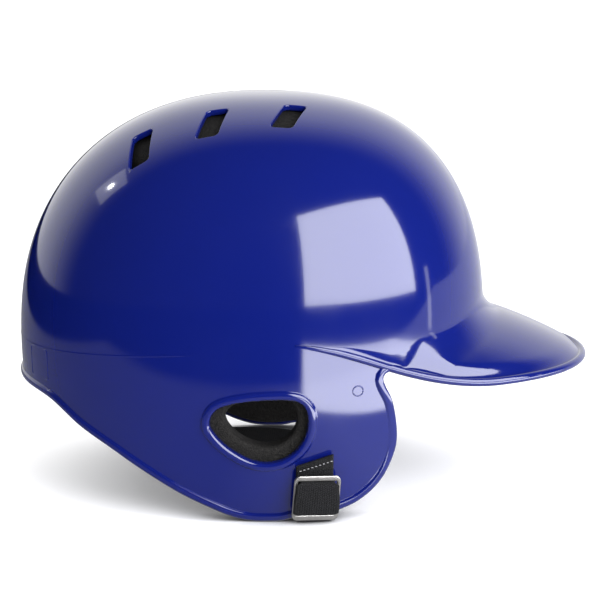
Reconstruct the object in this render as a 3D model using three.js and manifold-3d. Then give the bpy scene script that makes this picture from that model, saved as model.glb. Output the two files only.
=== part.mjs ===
// Batting helmet with two ear flaps: one moulded shell with a brim, foam liner pads, and a webbing chin strap
// with a sliding three-bar buckle on the right flap and a press stud on the left.
// Millimetres. +X is forward (the brim), +Y is the wearer's left, +Z is up; the ear flaps stand on z = 0.
import * as THREE from "three";
import { mergeVertices } from "three/addons/utils/BufferGeometryUtils.js";
import Module from "manifold-3d";

const wasm = await Module();
wasm.setup();

const RIGHT = -1;
const LEFT = 1;

// Dome: a rounded body about a vertical axis, with a skirt that leans in below the widest level.
const DOME = {
  axisX: -22.9,
  frontReach: 119.1,
  rearReach: 129.7,
  halfWidth: 102,
  widestLevel: 79.9,
  rise: 127.4,
  planPower: 2.15,
  frontPower: 2.56,
  rearPower: 2.26,
  sidePower: 2.48,
  lean: 0.09,
};
const WALL = 3.2;
const SHELL_GRID = { around: 60, rows: 12 };
const PAD_GRID = { around: 40, rows: 8 };

// Brim: overhang, edge height and root height as smooth functions of the plan angle from straight ahead.
const BRIM = {
  overhang: 55.7,
  overhangEnd: 60,
  edgeLevel: 68.6,
  edgeRise: 24.5,
  edgeRiseStart: 30,
  edgeRiseEnd: 80,
  rootRise: 23,
  rootRiseEnd: 52,
  ridge: 1.6,
  thickness: 3,
  rim: 0.7,
  droop: 1.35,
};

const BEAD_WIDTH = 4.2;
const BEAD_PROUD = 1.4;

const VENT = { width: 11.5, length: 25, slant: 3.5, corner: 2.4 };
const VENTS = [
  { x: -84.3, y: 48.2 },
  { x: -47.5, y: 46.2 },
  { x: -8.3, y: 42 },
];

const PAD_GAP = 0.6;
const PAD_THICKNESS = 12;
const EAR_PAD_THICKNESS = 14;

const STRAP = { x: 4.9, width: 19, thickness: 1.5 };
const STRAP_END_INSET = 17.5;
const CHIN_REACH = 70;
const CHIN_TILT = 62;

const GLIDE = { width: 24, height: 25, bar: 2.9, side: 2, thickness: 1.3, level: 14.6, lift: 4 };
const SNAP_LEVEL = 20;
const RIVET_LEVEL = 15;

const radians = THREE.MathUtils.degToRad;

// ---------------------------------------------------------------- solids

// A closed manifold solid from a three.js geometry, turned outwards if its mapping mirrored it.
function solid(geometry) {
  const plain = geometry.clone();
  plain.deleteAttribute("normal");
  plain.deleteAttribute("uv");
  const merged = mergeVertices(plain, 1e-4);
  const corners = [];
  const index = merged.index.array;
  for (let i = 0; i < index.length; i += 3) {
    const [a, b, c] = [index[i], index[i + 1], index[i + 2]];
    if (a !== b && b !== c && c !== a) corners.push(a, b, c);
  }
  const build = (triVerts) =>
    new wasm.Manifold(
      new wasm.Mesh({
        numProp: 3,
        vertProperties: new Float32Array(merged.attributes.position.array),
        triVerts: new Uint32Array(triVerts),
      }),
    );
  const made = build(corners);
  return made.volume() > 0 ? made : build(corners.reverse());
}

// Moves every vertex of a geometry through a formula.
function remap(geometry, place) {
  const positions = geometry.attributes.position;
  const point = new THREE.Vector3();
  for (let i = 0; i < positions.count; i += 1) {
    point.fromBufferAttribute(positions, i);
    const moved = place(point);
    positions.setXYZ(i, moved.x, moved.y, moved.z);
  }
  return geometry;
}

// An XZ outline pushed through from one side of the helmet to the other.
function sidePrism(shape, nearY, farY) {
  const depth = farY - nearY;
  const geometry = new THREE.ExtrudeGeometry(shape, { depth, bevelEnabled: false, curveSegments: 10 });
  geometry.rotateX(Math.PI / 2);
  geometry.translate(0, farY, 0);
  return solid(geometry);
}

// An XY outline raised from one level to another.
function planPrism(shape, low, high) {
  const geometry = new THREE.ExtrudeGeometry(shape, {
    depth: high - low,
    bevelEnabled: false,
    curveSegments: 6,
  });
  geometry.translate(0, 0, low);
  return solid(geometry);
}

function roundedBox(minX, minY, maxX, maxY, radius) {
  const shape = new THREE.Shape();
  shape.moveTo(minX + radius, minY);
  shape.lineTo(maxX - radius, minY);
  shape.absarc(maxX - radius, minY + radius, radius, -Math.PI / 2, 0, false);
  shape.lineTo(maxX, maxY - radius);
  shape.absarc(maxX - radius, maxY - radius, radius, 0, Math.PI / 2, false);
  shape.lineTo(minX + radius, maxY);
  shape.absarc(minX + radius, maxY - radius, radius, Math.PI / 2, Math.PI, false);
  shape.lineTo(minX, minY + radius);
  shape.absarc(minX + radius, minY + radius, radius, Math.PI, 1.5 * Math.PI, false);
  return shape;
}

// A closed shape drawn smoothly through a few points.
function smoothShape(points, divisions) {
  const curve = new THREE.CatmullRomCurve3(
    points.map(([x, y]) => new THREE.Vector3(x, y, 0)),
    true,
    "centripetal",
  );
  const outline = curve.getSpacedPoints(divisions).slice(0, -1);
  return new THREE.Shape(outline.map((p) => new THREE.Vector2(p.x, p.y)));
}

// ---------------------------------------------------------------- the dome's skin

// Plan radius of the skin, grown outwards by `grow`, at a plan angle from straight ahead.
function planRadius(angle, grow = 0) {
  const reach = (Math.cos(angle) > 0 ? DOME.frontReach : DOME.rearReach) + grow;
  const forward = Math.abs(Math.cos(angle)) / reach;
  const sideways = Math.abs(Math.sin(angle)) / (DOME.halfWidth + grow);
  return (forward ** DOME.planPower + sideways ** DOME.planPower) ** (-1 / DOME.planPower);
}

// How much the skirt has drawn in at a level below the widest one.
function leanScale(level) {
  const below = Math.max(0, DOME.widestLevel - level) / 80;
  return 1 - DOME.lean * below ** 2;
}

// Sideways distance of the skirt's outer skin from the middle plane.
function skirtY(x, level) {
  const scale = leanScale(level);
  const ahead = x - DOME.axisX;
  const reach = (ahead > 0 ? DOME.frontReach : DOME.rearReach) * scale;
  const share = 1 - (Math.abs(ahead) / reach) ** DOME.planPower;
  return DOME.halfWidth * scale * Math.max(share, 0) ** (1 / DOME.planPower);
}

// The whole body inside the skin, turned as a unit profile and then shaped by the dome's formulas.
function skinBody(grow, grid = SHELL_GRID) {
  const bottom = -6;
  const profile = [new THREE.Vector2(0, -1)];
  for (const row of [-1, -0.75, -0.5, -0.25]) profile.push(new THREE.Vector2(1, row));
  for (let row = 0; row <= grid.rows; row += 1) {
    const climb = (row / grid.rows) * (Math.PI / 2);
    profile.push(new THREE.Vector2(row === grid.rows ? 0 : Math.cos(climb), Math.sin(climb)));
  }
  const geometry = new THREE.LatheGeometry(profile, grid.around);
  geometry.rotateX(Math.PI / 2);
  remap(geometry, (p) => {
    const turn = Math.atan2(p.y, p.x);
    const angle = Math.atan2(Math.sin(turn) * DOME.halfWidth, Math.cos(turn) * DOME.frontReach);
    const edge = planRadius(angle, grow);
    const across = Math.hypot(p.x, p.y);
    const endPower = Math.cos(angle) > 0 ? DOME.frontPower : DOME.rearPower;
    const reach = (Math.cos(angle) > 0 ? DOME.frontReach : DOME.rearReach) + grow;
    const fore = ((edge * Math.cos(angle)) / reach) ** 2;
    const power = DOME.sidePower + (endPower - DOME.sidePower) * fore;
    let radius = edge;
    let level = DOME.widestLevel;
    if (p.z >= 0) {
      const climb = Math.atan2(p.z, across);
      radius *= across < 1e-6 ? 0 : Math.cos(climb) ** (2 / power);
      level += (DOME.rise + grow) * Math.sin(climb) ** (2 / power);
    } else {
      level += p.z * (DOME.widestLevel - bottom);
      radius *= across * leanScale(level);
    }
    return new THREE.Vector3(
      DOME.axisX + radius * Math.cos(angle),
      radius * Math.sin(angle),
      level,
    );
  });
  return solid(geometry);
}

// Height of the dome's outer skin above a plan point.
function domeLevel(x, y) {
  const angle = Math.atan2(y, x - DOME.axisX);
  const edge = planRadius(angle);
  const reach = x > DOME.axisX ? DOME.frontReach : DOME.rearReach;
  const endPower = x > DOME.axisX ? DOME.frontPower : DOME.rearPower;
  const fore = ((edge * Math.cos(angle)) / reach) ** 2;
  const power = DOME.sidePower + (endPower - DOME.sidePower) * fore;
  const share = Math.hypot(x - DOME.axisX, y) / edge;
  return DOME.widestLevel + DOME.rise * (1 - share ** power) ** (1 / power);
}

// Frame standing on the dome: its third axis is the outward normal, its first runs forward.
function domeFrame(x, y) {
  const step = 0.5;
  const slopeX = (domeLevel(x + step, y) - domeLevel(x - step, y)) / (2 * step);
  const slopeY = (domeLevel(x, y + step) - domeLevel(x, y - step)) / (2 * step);
  const normal = new THREE.Vector3(-slopeX, -slopeY, 1).normalize();
  const forward = new THREE.Vector3(1, 0, slopeX).normalize();
  const sideways = new THREE.Vector3().crossVectors(normal, forward);
  return new THREE.Matrix4()
    .makeBasis(forward, sideways, normal)
    .setPosition(x, y, domeLevel(x, y));
}

// Frame standing on a flap's outer skin: its third axis is the outward normal, its second runs up.
function flapFrame(side, x, level) {
  const step = 1;
  const slopeX = (skirtY(x + step, level) - skirtY(x - step, level)) / (2 * step);
  const slopeZ = (skirtY(x, level + step) - skirtY(x, level - step)) / (2 * step);
  const normal = new THREE.Vector3(-slopeX, side, -slopeZ).normalize();
  const up = new THREE.Vector3(0, side * slopeZ, 1).normalize();
  const across = new THREE.Vector3().crossVectors(up, normal);
  up.crossVectors(normal, across);
  return new THREE.Matrix4()
    .makeBasis(across, up, normal)
    .setPosition(x, side * skirtY(x, level), level);
}

// A cylinder standing on a flap, between two distances from its outer skin.
function flapDisc(frame, radius, from, to, segments = 24) {
  const geometry = new THREE.CylinderGeometry(radius, radius, to - from, segments);
  geometry.rotateX(Math.PI / 2);
  geometry.translate(0, 0, (from + to) / 2);
  geometry.applyMatrix4(frame);
  return solid(geometry);
}

// ---------------------------------------------------------------- outlines seen from the side

// The helmet's outline: nape edge, ear flap, cheek edge, and the line where the wall meets the brim.
// `inset` draws the lower edge in, to mark off the rolled bead or the pads' outer limit.
function flapOutline(inset) {
  const lowerEdge = [
    [-170, 58],
    [-146, 58.2],
    [-132, 55.6],
    [-115, 44.6],
    [-99, 35.6],
    [-84, 26.4],
    [-63.4, 14.4],
    [-45, 5.8],
    [-36, 1.5],
    [-31, 0],
    [-12, 0],
    [-6, 2.2],
    [4, 2.6],
    [16, 4.4],
    [28, 9.5],
    [38.3, 18.8],
    [45.2, 32.4],
    [46.8, 44],
    [44.6, 60],
    [38.6, 74],
    [37.6, 76.4],
  ].map(([x, z]) => new THREE.Vector2(x, z));
  const last = lowerEdge.length - 1;
  const moved = lowerEdge.map((point, i) => {
    const along = lowerEdge[Math.min(i + 1, last)].clone().sub(lowerEdge[Math.max(i - 1, 0)]);
    along.normalize().multiplyScalar(inset);
    return new THREE.Vector2(point.x - along.y, point.y + along.x);
  });
  const shape = new THREE.Shape();
  shape.moveTo(moved[0].x, moved[0].y);
  for (const point of moved.slice(1)) shape.lineTo(point.x, point.y);
  const forwardEdge = [
    [50, 76],
    [62.5, 80.5],
    [78, 84.4],
    [97, 87.6],
    [115, 88],
    [115, 230],
    [-170, 230],
  ];
  for (const [x, z] of forwardEdge) shape.lineTo(x, z + inset);
  return shape;
}

// Ear opening: a rounded D with its straight side on top, grown by `grow`.
function earOutline(grow) {
  const centre = new THREE.Vector2(-20.5, 51);
  const corners = [
    [-48, 52.8],
    [-45, 59.6],
    [-37, 63.2],
    [-24, 65.2],
    [-8, 65.4],
    [-1, 62.6],
    [1.6, 56],
    [0.6, 46.6],
    [-5, 37.6],
    [-14.5, 32.4],
    [-26, 32.8],
    [-38, 39.4],
    [-45.6, 47],
  ];
  return smoothShape(
    corners.map(([x, z]) => {
      const away = new THREE.Vector2(x, z).sub(centre);
      away.setLength(away.length() + grow);
      return [centre.x + away.x, centre.y + away.y];
    }),
    40,
  );
}

// ---------------------------------------------------------------- shell

function smoothStep(from, to, value) {
  return THREE.MathUtils.smoothstep(value, from, to);
}

// The brim with the fading ridges that run back from it along both sides of the dome.
function brimSolid() {
  const geometry = new THREE.BoxGeometry(1, 1, 1, 56, 6, 1);
  const sweep = BRIM.edgeRiseEnd;
  remap(geometry, (p) => {
    const degrees = 2 * p.x * sweep;
    const turn = Math.abs(degrees);
    const angle = radians(degrees);
    const out = p.y + 0.5;
    const overhang =
      turn < BRIM.overhangEnd ? BRIM.overhang * Math.cos(radians((90 * turn) / BRIM.overhangEnd)) ** 2 : 0;
    const ridge = BRIM.ridge * smoothStep(-sweep, -sweep + 18, -turn) + 0.1;
    const edgeLevel = BRIM.edgeLevel + BRIM.edgeRise * smoothStep(BRIM.edgeRiseStart, BRIM.edgeRiseEnd, turn);
    const rootRise =
      turn < BRIM.rootRiseEnd
        ? BRIM.rootRise * Math.cos(radians((90 * turn) / BRIM.rootRiseEnd)) ** 0.6
        : 0;
    const start = planRadius(angle) - 0.5 * WALL;
    const end = planRadius(angle) + Math.max(overhang, ridge);
    const radius = THREE.MathUtils.lerp(start, end, out);
    const rim = BRIM.rim * smoothStep(0.8, 0.95, out);
    const top = edgeLevel + rootRise * (1 - out ** BRIM.droop) + rim;
    const bottom = top - BRIM.thickness - 2 * rim;
    return new THREE.Vector3(
      DOME.axisX + radius * Math.cos(angle),
      radius * Math.sin(angle),
      p.z > 0 ? top : bottom,
    );
  });
  return solid(geometry);
}

// One vent's cutting body: a rounded, slanted four-sided slot driven in square to the dome.
function ventCutter({ x, y }, side) {
  const slot = roundedBox(
    -VENT.width / 2,
    -VENT.length / 2,
    VENT.width / 2,
    VENT.length / 2,
    VENT.corner,
  );
  const depth = 16;
  const geometry = new THREE.ExtrudeGeometry(slot, { depth, bevelEnabled: false, curveSegments: 4 });
  geometry.translate(0, 0, -depth / 2);
  remap(geometry, (p) => {
    const slant = (-2 * side * VENT.slant * p.y) / VENT.length;
    return new THREE.Vector3(p.x + slant, p.y, p.z);
  });
  geometry.applyMatrix4(domeFrame(x, side * y));
  return solid(geometry);
}

// A small round mark moulded on each cheek.
function cheekMark(side) {
  const frame = flapFrame(side, 26.6, 68.4);
  return flapDisc(frame, 3, -1, 0.35, 20).subtract(flapDisc(frame, 2.2, 0.02, 1, 20));
}

function shellSolid() {
  const inner = skinBody(-WALL);
  const wall = skinBody(0).subtract(inner).intersect(sidePrism(flapOutline(0), -130, 130));
  const rim = sidePrism(flapOutline(0), -130, 130).subtract(sidePrism(flapOutline(BEAD_WIDTH), -131, 131));
  const below = sidePrism(roundedBox(-200, -20, 45, 76, 1), -130, 130);
  let made = wall.add(skinBody(BEAD_PROUD).subtract(inner).intersect(rim).intersect(below));
  made = made.add(brimSolid());
  for (const side of [RIGHT, LEFT]) {
    const [near, far] = side === RIGHT ? [-120, -60] : [60, 120];
    const earBead = skinBody(BEAD_PROUD)
      .subtract(inner)
      .intersect(sidePrism(earOutline(BEAD_WIDTH), near, far));
    made = made.add(earBead).subtract(sidePrism(earOutline(0), near, far));
    made = made.add(cheekMark(side));
    for (const vent of VENTS) made = made.subtract(ventCutter(vent, side));
    const level = side === RIGHT ? RIVET_LEVEL : SNAP_LEVEL;
    made = made.subtract(flapDisc(flapFrame(side, STRAP.x, level), 2, -8, 4, 16));
  }
  return made;
}

// ---------------------------------------------------------------- foam liner pads

// The layer between two distances inside the shell's inner face.
function linerLayer(thickness) {
  const outer = skinBody(-WALL - PAD_GAP, PAD_GRID);
  return outer.subtract(skinBody(-WALL - PAD_GAP - thickness, PAD_GRID));
}

// A plan sector between two angles, cut off square at x = limit.
function sector(halfAngle, limit, forward) {
  const reach = 190;
  const edge = Math.tan(halfAngle) * Math.abs(limit - DOME.axisX);
  const shape = new THREE.Shape();
  shape.moveTo(limit, -edge);
  shape.lineTo(DOME.axisX + forward * reach, -Math.tan(halfAngle) * reach);
  shape.lineTo(DOME.axisX + forward * reach, Math.tan(halfAngle) * reach);
  shape.lineTo(limit, edge);
  return shape;
}

function crownPad(layer) {
  return layer.intersect(planPrism(roundedBox(-100, -64, 46, 64, 26), 120, 230));
}

function frontPad(layer) {
  return layer.intersect(planPrism(sector(radians(40), 51, 1), 95, 230));
}

function rearPad(layer) {
  return layer.intersect(planPrism(sector(radians(42), -105, -1), 70, 230));
}

function templePad(layer, side) {
  const shape = side === RIGHT ? roundedBox(-82, -130, 40, -70, 8) : roundedBox(-82, 70, 40, 130, 8);
  return layer.intersect(planPrism(shape, 101, 230));
}

// Ear pad: fills the flap inside the bead, with its own smaller ear hole and a pocket for the rivet.
function earPad(layer, side) {
  const [near, far] = side === RIGHT ? [-130, -50] : [50, 130];
  const limits = sidePrism(roundedBox(-92, 14, 36, 96, 14), near, far);
  const flap = sidePrism(flapOutline(9), near, far);
  const hole = smoothShape(
    [
      [-40, 54],
      [-36, 61],
      [-22, 64.4],
      [-8, 63.6],
      [-4, 56],
      [-6, 47],
      [-14, 40.4],
      [-25, 40.4],
      [-35, 46],
    ],
    28,
  );
  const level = side === RIGHT ? RIVET_LEVEL : SNAP_LEVEL;
  const pocket = flapDisc(flapFrame(side, STRAP.x, level), 6.2, -7, 2, 20);
  return layer.intersect(flap).intersect(limits).subtract(sidePrism(hole, near, far)).subtract(pocket);
}

// ---------------------------------------------------------------- webbing

// A flat band: `place` turns distance along (0..1), across and through (-0.5..0.5) into a point.
function band(alongSegments, acrossSegments, place) {
  const geometry = new THREE.BoxGeometry(1, 1, 1, acrossSegments, 1, alongSegments);
  remap(geometry, (p) => place(p.z + 0.5, p.x, p.y));
  return solid(geometry);
}

// Webbing that follows a flap: the path is given as (distance out from the skin, height). Where it runs in
// under the helmet it straightens, so that its end is square to the helmet's width.
function flapWebbing(side, path, alongSegments, thickness = STRAP.thickness) {
  const curve = new THREE.SplineCurve(path.map(([out, level]) => new THREE.Vector2(out, level)));
  return band(alongSegments, 3, (along, across, through) => {
    const point = curve.getPointAt(along);
    const tangent = curve.getTangentAt(along);
    const offset = through * thickness;
    const out = point.x - tangent.y * offset;
    const level = point.y + tangent.x * offset;
    const x = STRAP.x + across * STRAP.width;
    const straight = smoothStep(0, STRAP_END_INSET - 2, -point.x);
    const wall = THREE.MathUtils.lerp(skirtY(x, Math.max(level, 1)), skirtY(STRAP.x, 1), straight);
    return new THREE.Vector3(x, side * (wall + out), level);
  });
}

// Path of the webbing from the rolled edge of a flap, round under it, and in towards the chin.
const WRAP_PATH = [
  [2.75, 3.6],
  [1.6, 1.15],
  [-2, 0.85],
  [-9, 0.85],
  [-STRAP_END_INSET, 0.85],
];

// Right webbing: hemmed tail and base layer on the flap, then round its lower edge.
function rightStrap() {
  const base = [[2.5, 33.6], [1.7, 27], [1.2, 21], [1.3, 12], [2.5, 7.2], ...WRAP_PATH];
  const hem = [[3, 33.6], [2.5, 30.8], [2.2, 28.9]];
  return flapWebbing(RIGHT, base, 30)
    .add(flapWebbing(RIGHT, hem, 3, 2.2))
    .subtract(flapDisc(flapFrame(RIGHT, STRAP.x, RIVET_LEVEL), 2, -2, 4, 16));
}

function leftStrap() {
  return flapWebbing(LEFT, [[2.9, 6.6], ...WRAP_PATH], 18);
}

// Left tab: the webbing's outer end, which the press stud holds against the flap.
function leftStrapTab() {
  const path = [[2.95, 7.1], [4, 12], [4.3, 20], [4.3, 30]];
  const hole = flapDisc(flapFrame(LEFT, STRAP.x, SNAP_LEVEL), 2.9, -2, 8, 16);
  return flapWebbing(LEFT, path, 12).subtract(hole);
}

// Free chin webbing: slack between the two flaps, laid back on the ground and leaning up on its rear edge.
function chinStrap() {
  const halfSpan = skirtY(STRAP.x, 1) - STRAP_END_INSET - 0.4;
  return band(44, 2, (along, across, through) => {
    const slack = Math.sin(Math.PI * along);
    const lead = -CHIN_REACH * Math.PI * Math.sin(2 * Math.PI * along);
    const outward = new THREE.Vector2(-2 * halfSpan, lead).normalize();
    const tilt = radians(CHIN_TILT) * slack ** 1.5;
    const wide = across * STRAP.width;
    const thick = through * STRAP.thickness;
    const flat = wide * Math.cos(tilt) - thick * Math.sin(tilt);
    const rise = (wide + 0.5 * STRAP.width) * Math.sin(tilt) + thick * Math.cos(tilt);
    return new THREE.Vector3(
      STRAP.x - CHIN_REACH * slack ** 2 + outward.x * flat,
      halfSpan * (2 * along - 1) + outward.y * flat,
      0.85 + rise,
    );
  });
}

// ---------------------------------------------------------------- buckle, rivet and press stud

function tilted(frame, degrees) {
  return frame.clone().multiply(new THREE.Matrix4().makeRotationZ(radians(degrees)));
}

function glideFrame() {
  return tilted(flapFrame(RIGHT, STRAP.x, GLIDE.level), -2);
}

// Three-bar slide: a flat metal frame with two slots either side of a middle bar.
function triGlide() {
  const [halfWidth, halfHeight] = [GLIDE.width / 2, GLIDE.height / 2];
  const shape = roundedBox(-halfWidth, -halfHeight, halfWidth, halfHeight, 2.6);
  const slotHalf = halfWidth - GLIDE.side;
  const top = halfHeight - GLIDE.bar;
  shape.holes.push(roundedBox(-slotHalf, 1.5, slotHalf, top, 1));
  shape.holes.push(roundedBox(-slotHalf, -top, slotHalf, -1.5, 1));
  const geometry = new THREE.ExtrudeGeometry(shape, {
    depth: GLIDE.thickness,
    bevelEnabled: false,
    curveSegments: 5,
  });
  geometry.translate(0, 0, GLIDE.lift);
  geometry.applyMatrix4(glideFrame());
  return solid(geometry);
}

// The webbing's fold over the middle bar, tucked behind the top and bottom bars.
function glideLoop() {
  const path = new THREE.SplineCurve(
    [
      [9.9, 3.1],
      [8.6, 3.3],
      [6.6, 4.7],
      [4, 6.6],
      [0, 7.1],
      [-4, 6.6],
      [-6.9, 5],
      [-9, 4.35],
    ].map(([v, n]) => new THREE.Vector2(v, n)),
  );
  const thickness = 1.3;
  const frame = glideFrame();
  return band(28, 2, (along, across, through) => {
    const point = path.getPointAt(along);
    const tangent = path.getTangentAt(along);
    const offset = through * thickness;
    const width = STRAP.width - 0.4;
    return new THREE.Vector3(
      across * width,
      point.x - tangent.y * offset,
      point.y + tangent.x * offset,
    ).applyMatrix4(frame);
  });
}

function rivet(side, level) {
  const frame = flapFrame(side, STRAP.x, level);
  return flapDisc(frame, 3, 2.25, 2.95)
    .add(flapDisc(frame, 1.6, -5, 2.4, 16))
    .add(flapDisc(frame, 2.8, -5.6, -4.9));
}

function washer(side, level) {
  const frame = flapFrame(side, STRAP.x, level);
  return flapDisc(frame, 4.6, -4.6, -3.6).subtract(flapDisc(frame, 1.95, -6, -2, 16));
}

function snapStud() {
  const frame = flapFrame(LEFT, STRAP.x, SNAP_LEVEL);
  return flapDisc(frame, 5.4, 0.35, 1.1)
    .add(flapDisc(frame, 1.7, 1, 3, 20))
    .add(flapDisc(frame, 1.6, -5, 0.6, 16))
    .add(flapDisc(frame, 2.8, -5.6, -4.9));
}

function snapSocket() {
  const frame = flapFrame(LEFT, STRAP.x, SNAP_LEVEL);
  return flapDisc(frame, 5.6, 1.5, 2.95, 28).subtract(flapDisc(frame, 2.4, 1, 4, 20));
}

// Domed button over the tab, with a barrel that reaches down through the webbing.
function snapCap() {
  const profile = [
    [0, 3.7],
    [2.5, 3.7],
    [2.5, 5.4],
    [6.4, 5.4],
    [6.6, 6],
    [5.6, 6.8],
    [3.4, 7.4],
    [0, 7.6],
  ].map(([r, n]) => new THREE.Vector2(r, n));
  const geometry = new THREE.LatheGeometry(profile, 28);
  geometry.rotateX(Math.PI / 2);
  geometry.applyMatrix4(flapFrame(LEFT, STRAP.x, SNAP_LEVEL));
  return solid(geometry);
}

// ---------------------------------------------------------------- assembly

const GLOSS_BLUE = { color: 0x14238c, roughness: 0.18, metalness: 0 };
const FOAM = { color: 0x232325, roughness: 0.95, metalness: 0 };
const WEBBING = { color: 0x121213, roughness: 0.85, metalness: 0 };
const BRIGHT_STEEL = { color: 0xb9b9bd, roughness: 0.3, metalness: 1 };

function meshOf(made, name, finish) {
  const { vertProperties, triVerts, numProp } = made.getMesh();
  const positions = new Float32Array((vertProperties.length / numProp) * 3);
  for (let i = 0; i < positions.length / 3; i += 1) {
    positions.set(vertProperties.subarray(i * numProp, i * numProp + 3), i * 3);
  }
  const geometry = new THREE.BufferGeometry();
  geometry.setAttribute("position", new THREE.BufferAttribute(positions, 3));
  geometry.setIndex(new THREE.BufferAttribute(new Uint32Array(triVerts), 1));
  geometry.computeVertexNormals();
  const mesh = new THREE.Mesh(geometry, new THREE.MeshStandardMaterial(finish));
  mesh.name = name;
  return mesh;
}

const layer = linerLayer(PAD_THICKNESS);
const earLayer = linerLayer(EAR_PAD_THICKNESS);
const pieces = [
  [shellSolid(), "shell", GLOSS_BLUE],
  [crownPad(layer), "crown_pad", FOAM],
  [frontPad(layer), "front_pad", FOAM],
  [rearPad(layer), "rear_pad", FOAM],
  [templePad(layer, LEFT), "left_temple_pad", FOAM],
  [templePad(layer, RIGHT), "right_temple_pad", FOAM],
  [earPad(earLayer, LEFT), "left_ear_pad", FOAM],
  [earPad(earLayer, RIGHT), "right_ear_pad", FOAM],
  [rightStrap(), "right_strap", WEBBING],
  [triGlide(), "tri_glide", BRIGHT_STEEL],
  [glideLoop(), "glide_loop", WEBBING],
  [rivet(RIGHT, RIVET_LEVEL), "right_rivet", BRIGHT_STEEL],
  [washer(RIGHT, RIVET_LEVEL), "right_washer", BRIGHT_STEEL],
  [chinStrap(), "chin_strap", WEBBING],
  [leftStrap(), "left_strap", WEBBING],
  [leftStrapTab(), "left_strap_tab", WEBBING],
  [snapCap(), "snap_cap", BRIGHT_STEEL],
  [snapSocket(), "snap_socket", BRIGHT_STEEL],
  [snapStud(), "snap_stud", BRIGHT_STEEL],
  [washer(LEFT, SNAP_LEVEL), "left_washer", BRIGHT_STEEL],
];

const helmet = new THREE.Group();
helmet.name = "batting_helmet";
for (const [made, name, finish] of pieces) helmet.add(meshOf(made, name, finish));

// The origin is under the middle of the helmet's length.
const extent = new THREE.Box3().setFromObject(helmet);
helmet.position.x = -(extent.min.x + extent.max.x) / 2;

export default helmet;
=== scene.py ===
"""Batting helmet with two ear flaps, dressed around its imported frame.

The shell, liner, webbing and metal fittings are built in millimetres from the helmet's own formulas, with +X
forward (the brim), +Y the wearer's left and +Z up, and are then set down in the frame in metres.
"""

import logging
import math
from collections.abc import Callable
from dataclasses import dataclass, field
from enum import Enum

import bmesh
import bpy
import numpy as np
from mathutils import Matrix, Vector


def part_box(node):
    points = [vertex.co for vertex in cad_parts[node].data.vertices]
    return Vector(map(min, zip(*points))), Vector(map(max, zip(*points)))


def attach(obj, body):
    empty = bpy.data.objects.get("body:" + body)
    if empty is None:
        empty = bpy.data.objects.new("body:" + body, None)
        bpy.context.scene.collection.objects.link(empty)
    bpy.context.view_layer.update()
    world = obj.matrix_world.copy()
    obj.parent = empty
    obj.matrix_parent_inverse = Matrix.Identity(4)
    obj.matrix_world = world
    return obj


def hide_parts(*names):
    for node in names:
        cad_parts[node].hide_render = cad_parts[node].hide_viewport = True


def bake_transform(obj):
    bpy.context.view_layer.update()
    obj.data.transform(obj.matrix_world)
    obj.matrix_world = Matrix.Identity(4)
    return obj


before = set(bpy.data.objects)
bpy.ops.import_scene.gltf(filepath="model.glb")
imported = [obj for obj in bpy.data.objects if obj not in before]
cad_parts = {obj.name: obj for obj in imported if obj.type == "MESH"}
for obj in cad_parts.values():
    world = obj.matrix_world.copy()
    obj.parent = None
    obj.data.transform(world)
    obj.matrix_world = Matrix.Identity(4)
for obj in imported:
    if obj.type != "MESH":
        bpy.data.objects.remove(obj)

log = logging.getLogger("batting_helmet")
MILLIMETRE = 0.001

Array = np.ndarray
Place = Callable[[Array, Array], Array]


class Side(Enum):
    """The wearer's side that a flap and its fittings are on."""

    RIGHT = -1
    LEFT = 1

    @property
    def label(self) -> str:
        """The side's name as the pieces carry it."""
        return self.name.lower()


class Slot(Enum):
    """Material slots."""

    SHELL = "shell_plastic"
    LINER = "liner_foam"
    WEBBING = "strap_webbing"
    METAL = "bright_metal"


class Body(Enum):
    """The bodies that pieces ride on."""

    HELMET = "helmet"
    SLIDE = "slide"
    CHIN = "chin"
    TAB = "tab"


def smooth_step(low: float, high: float, value: Array) -> Array:
    """Smooth rise from 0 at low to 1 at high."""
    share = np.clip((value - low) / (high - low), 0.0, 1.0)
    return share * share * (3.0 - 2.0 * share)


def unit(vectors: Array) -> Array:
    """The vectors at length one."""
    return vectors / np.maximum(np.linalg.norm(vectors, axis=-1, keepdims=True), 1e-12)


def spline(points: list[tuple[float, float]], count: int, closed: bool = False) -> Array:
    """A smooth line through a few points.

    Args:
        points: Two coordinates for each point.
        count: Number of evenly spaced points wanted.
        closed: Whether the line comes back to its first point.

    Returns:
        The points along the line, with the last one left out on a closed line.
    """
    knots = np.array(points, float)
    size = len(knots)
    ahead = [knots[(i) % size] if closed else knots[min(max(i, 0), size - 1)] for i in range(-1, size + 2)]
    fine = []
    spans = size if closed else size - 1
    for i in range(spans):
        before, start, end, after = ahead[i], ahead[i + 1], ahead[i + 2], ahead[i + 3]
        t = np.linspace(0.0, 1.0, 24, endpoint=False)[:, None]
        fine.append(
            0.5
            * (
                2 * start
                + (end - before) * t
                + (2 * before - 5 * start + 4 * end - after) * t**2
                + (3 * start - before - 3 * end + after) * t**3
            )
        )
    line = np.vstack([*fine, ahead[1][None] if closed else knots[-1][None]])
    return even_points(line, count, closed)


def even_points(line: Array, count: int, closed: bool) -> Array:
    """A line resampled at even distances.

    Args:
        line: Points along the line, the last one equal to the first if it is closed.
        count: Number of points wanted.
        closed: Whether the last point is left out.

    Returns:
        The evenly spaced points.
    """
    lengths = np.concatenate([[0.0], np.cumsum(np.linalg.norm(np.diff(line, axis=0), axis=1))])
    wanted = np.linspace(0.0, lengths[-1], count, endpoint=not closed)
    return np.stack([np.interp(wanted, lengths, line[:, k]) for k in range(line.shape[1])], axis=-1)


# ------------------------------------------------------------------------------------------ the dome's skin


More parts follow.
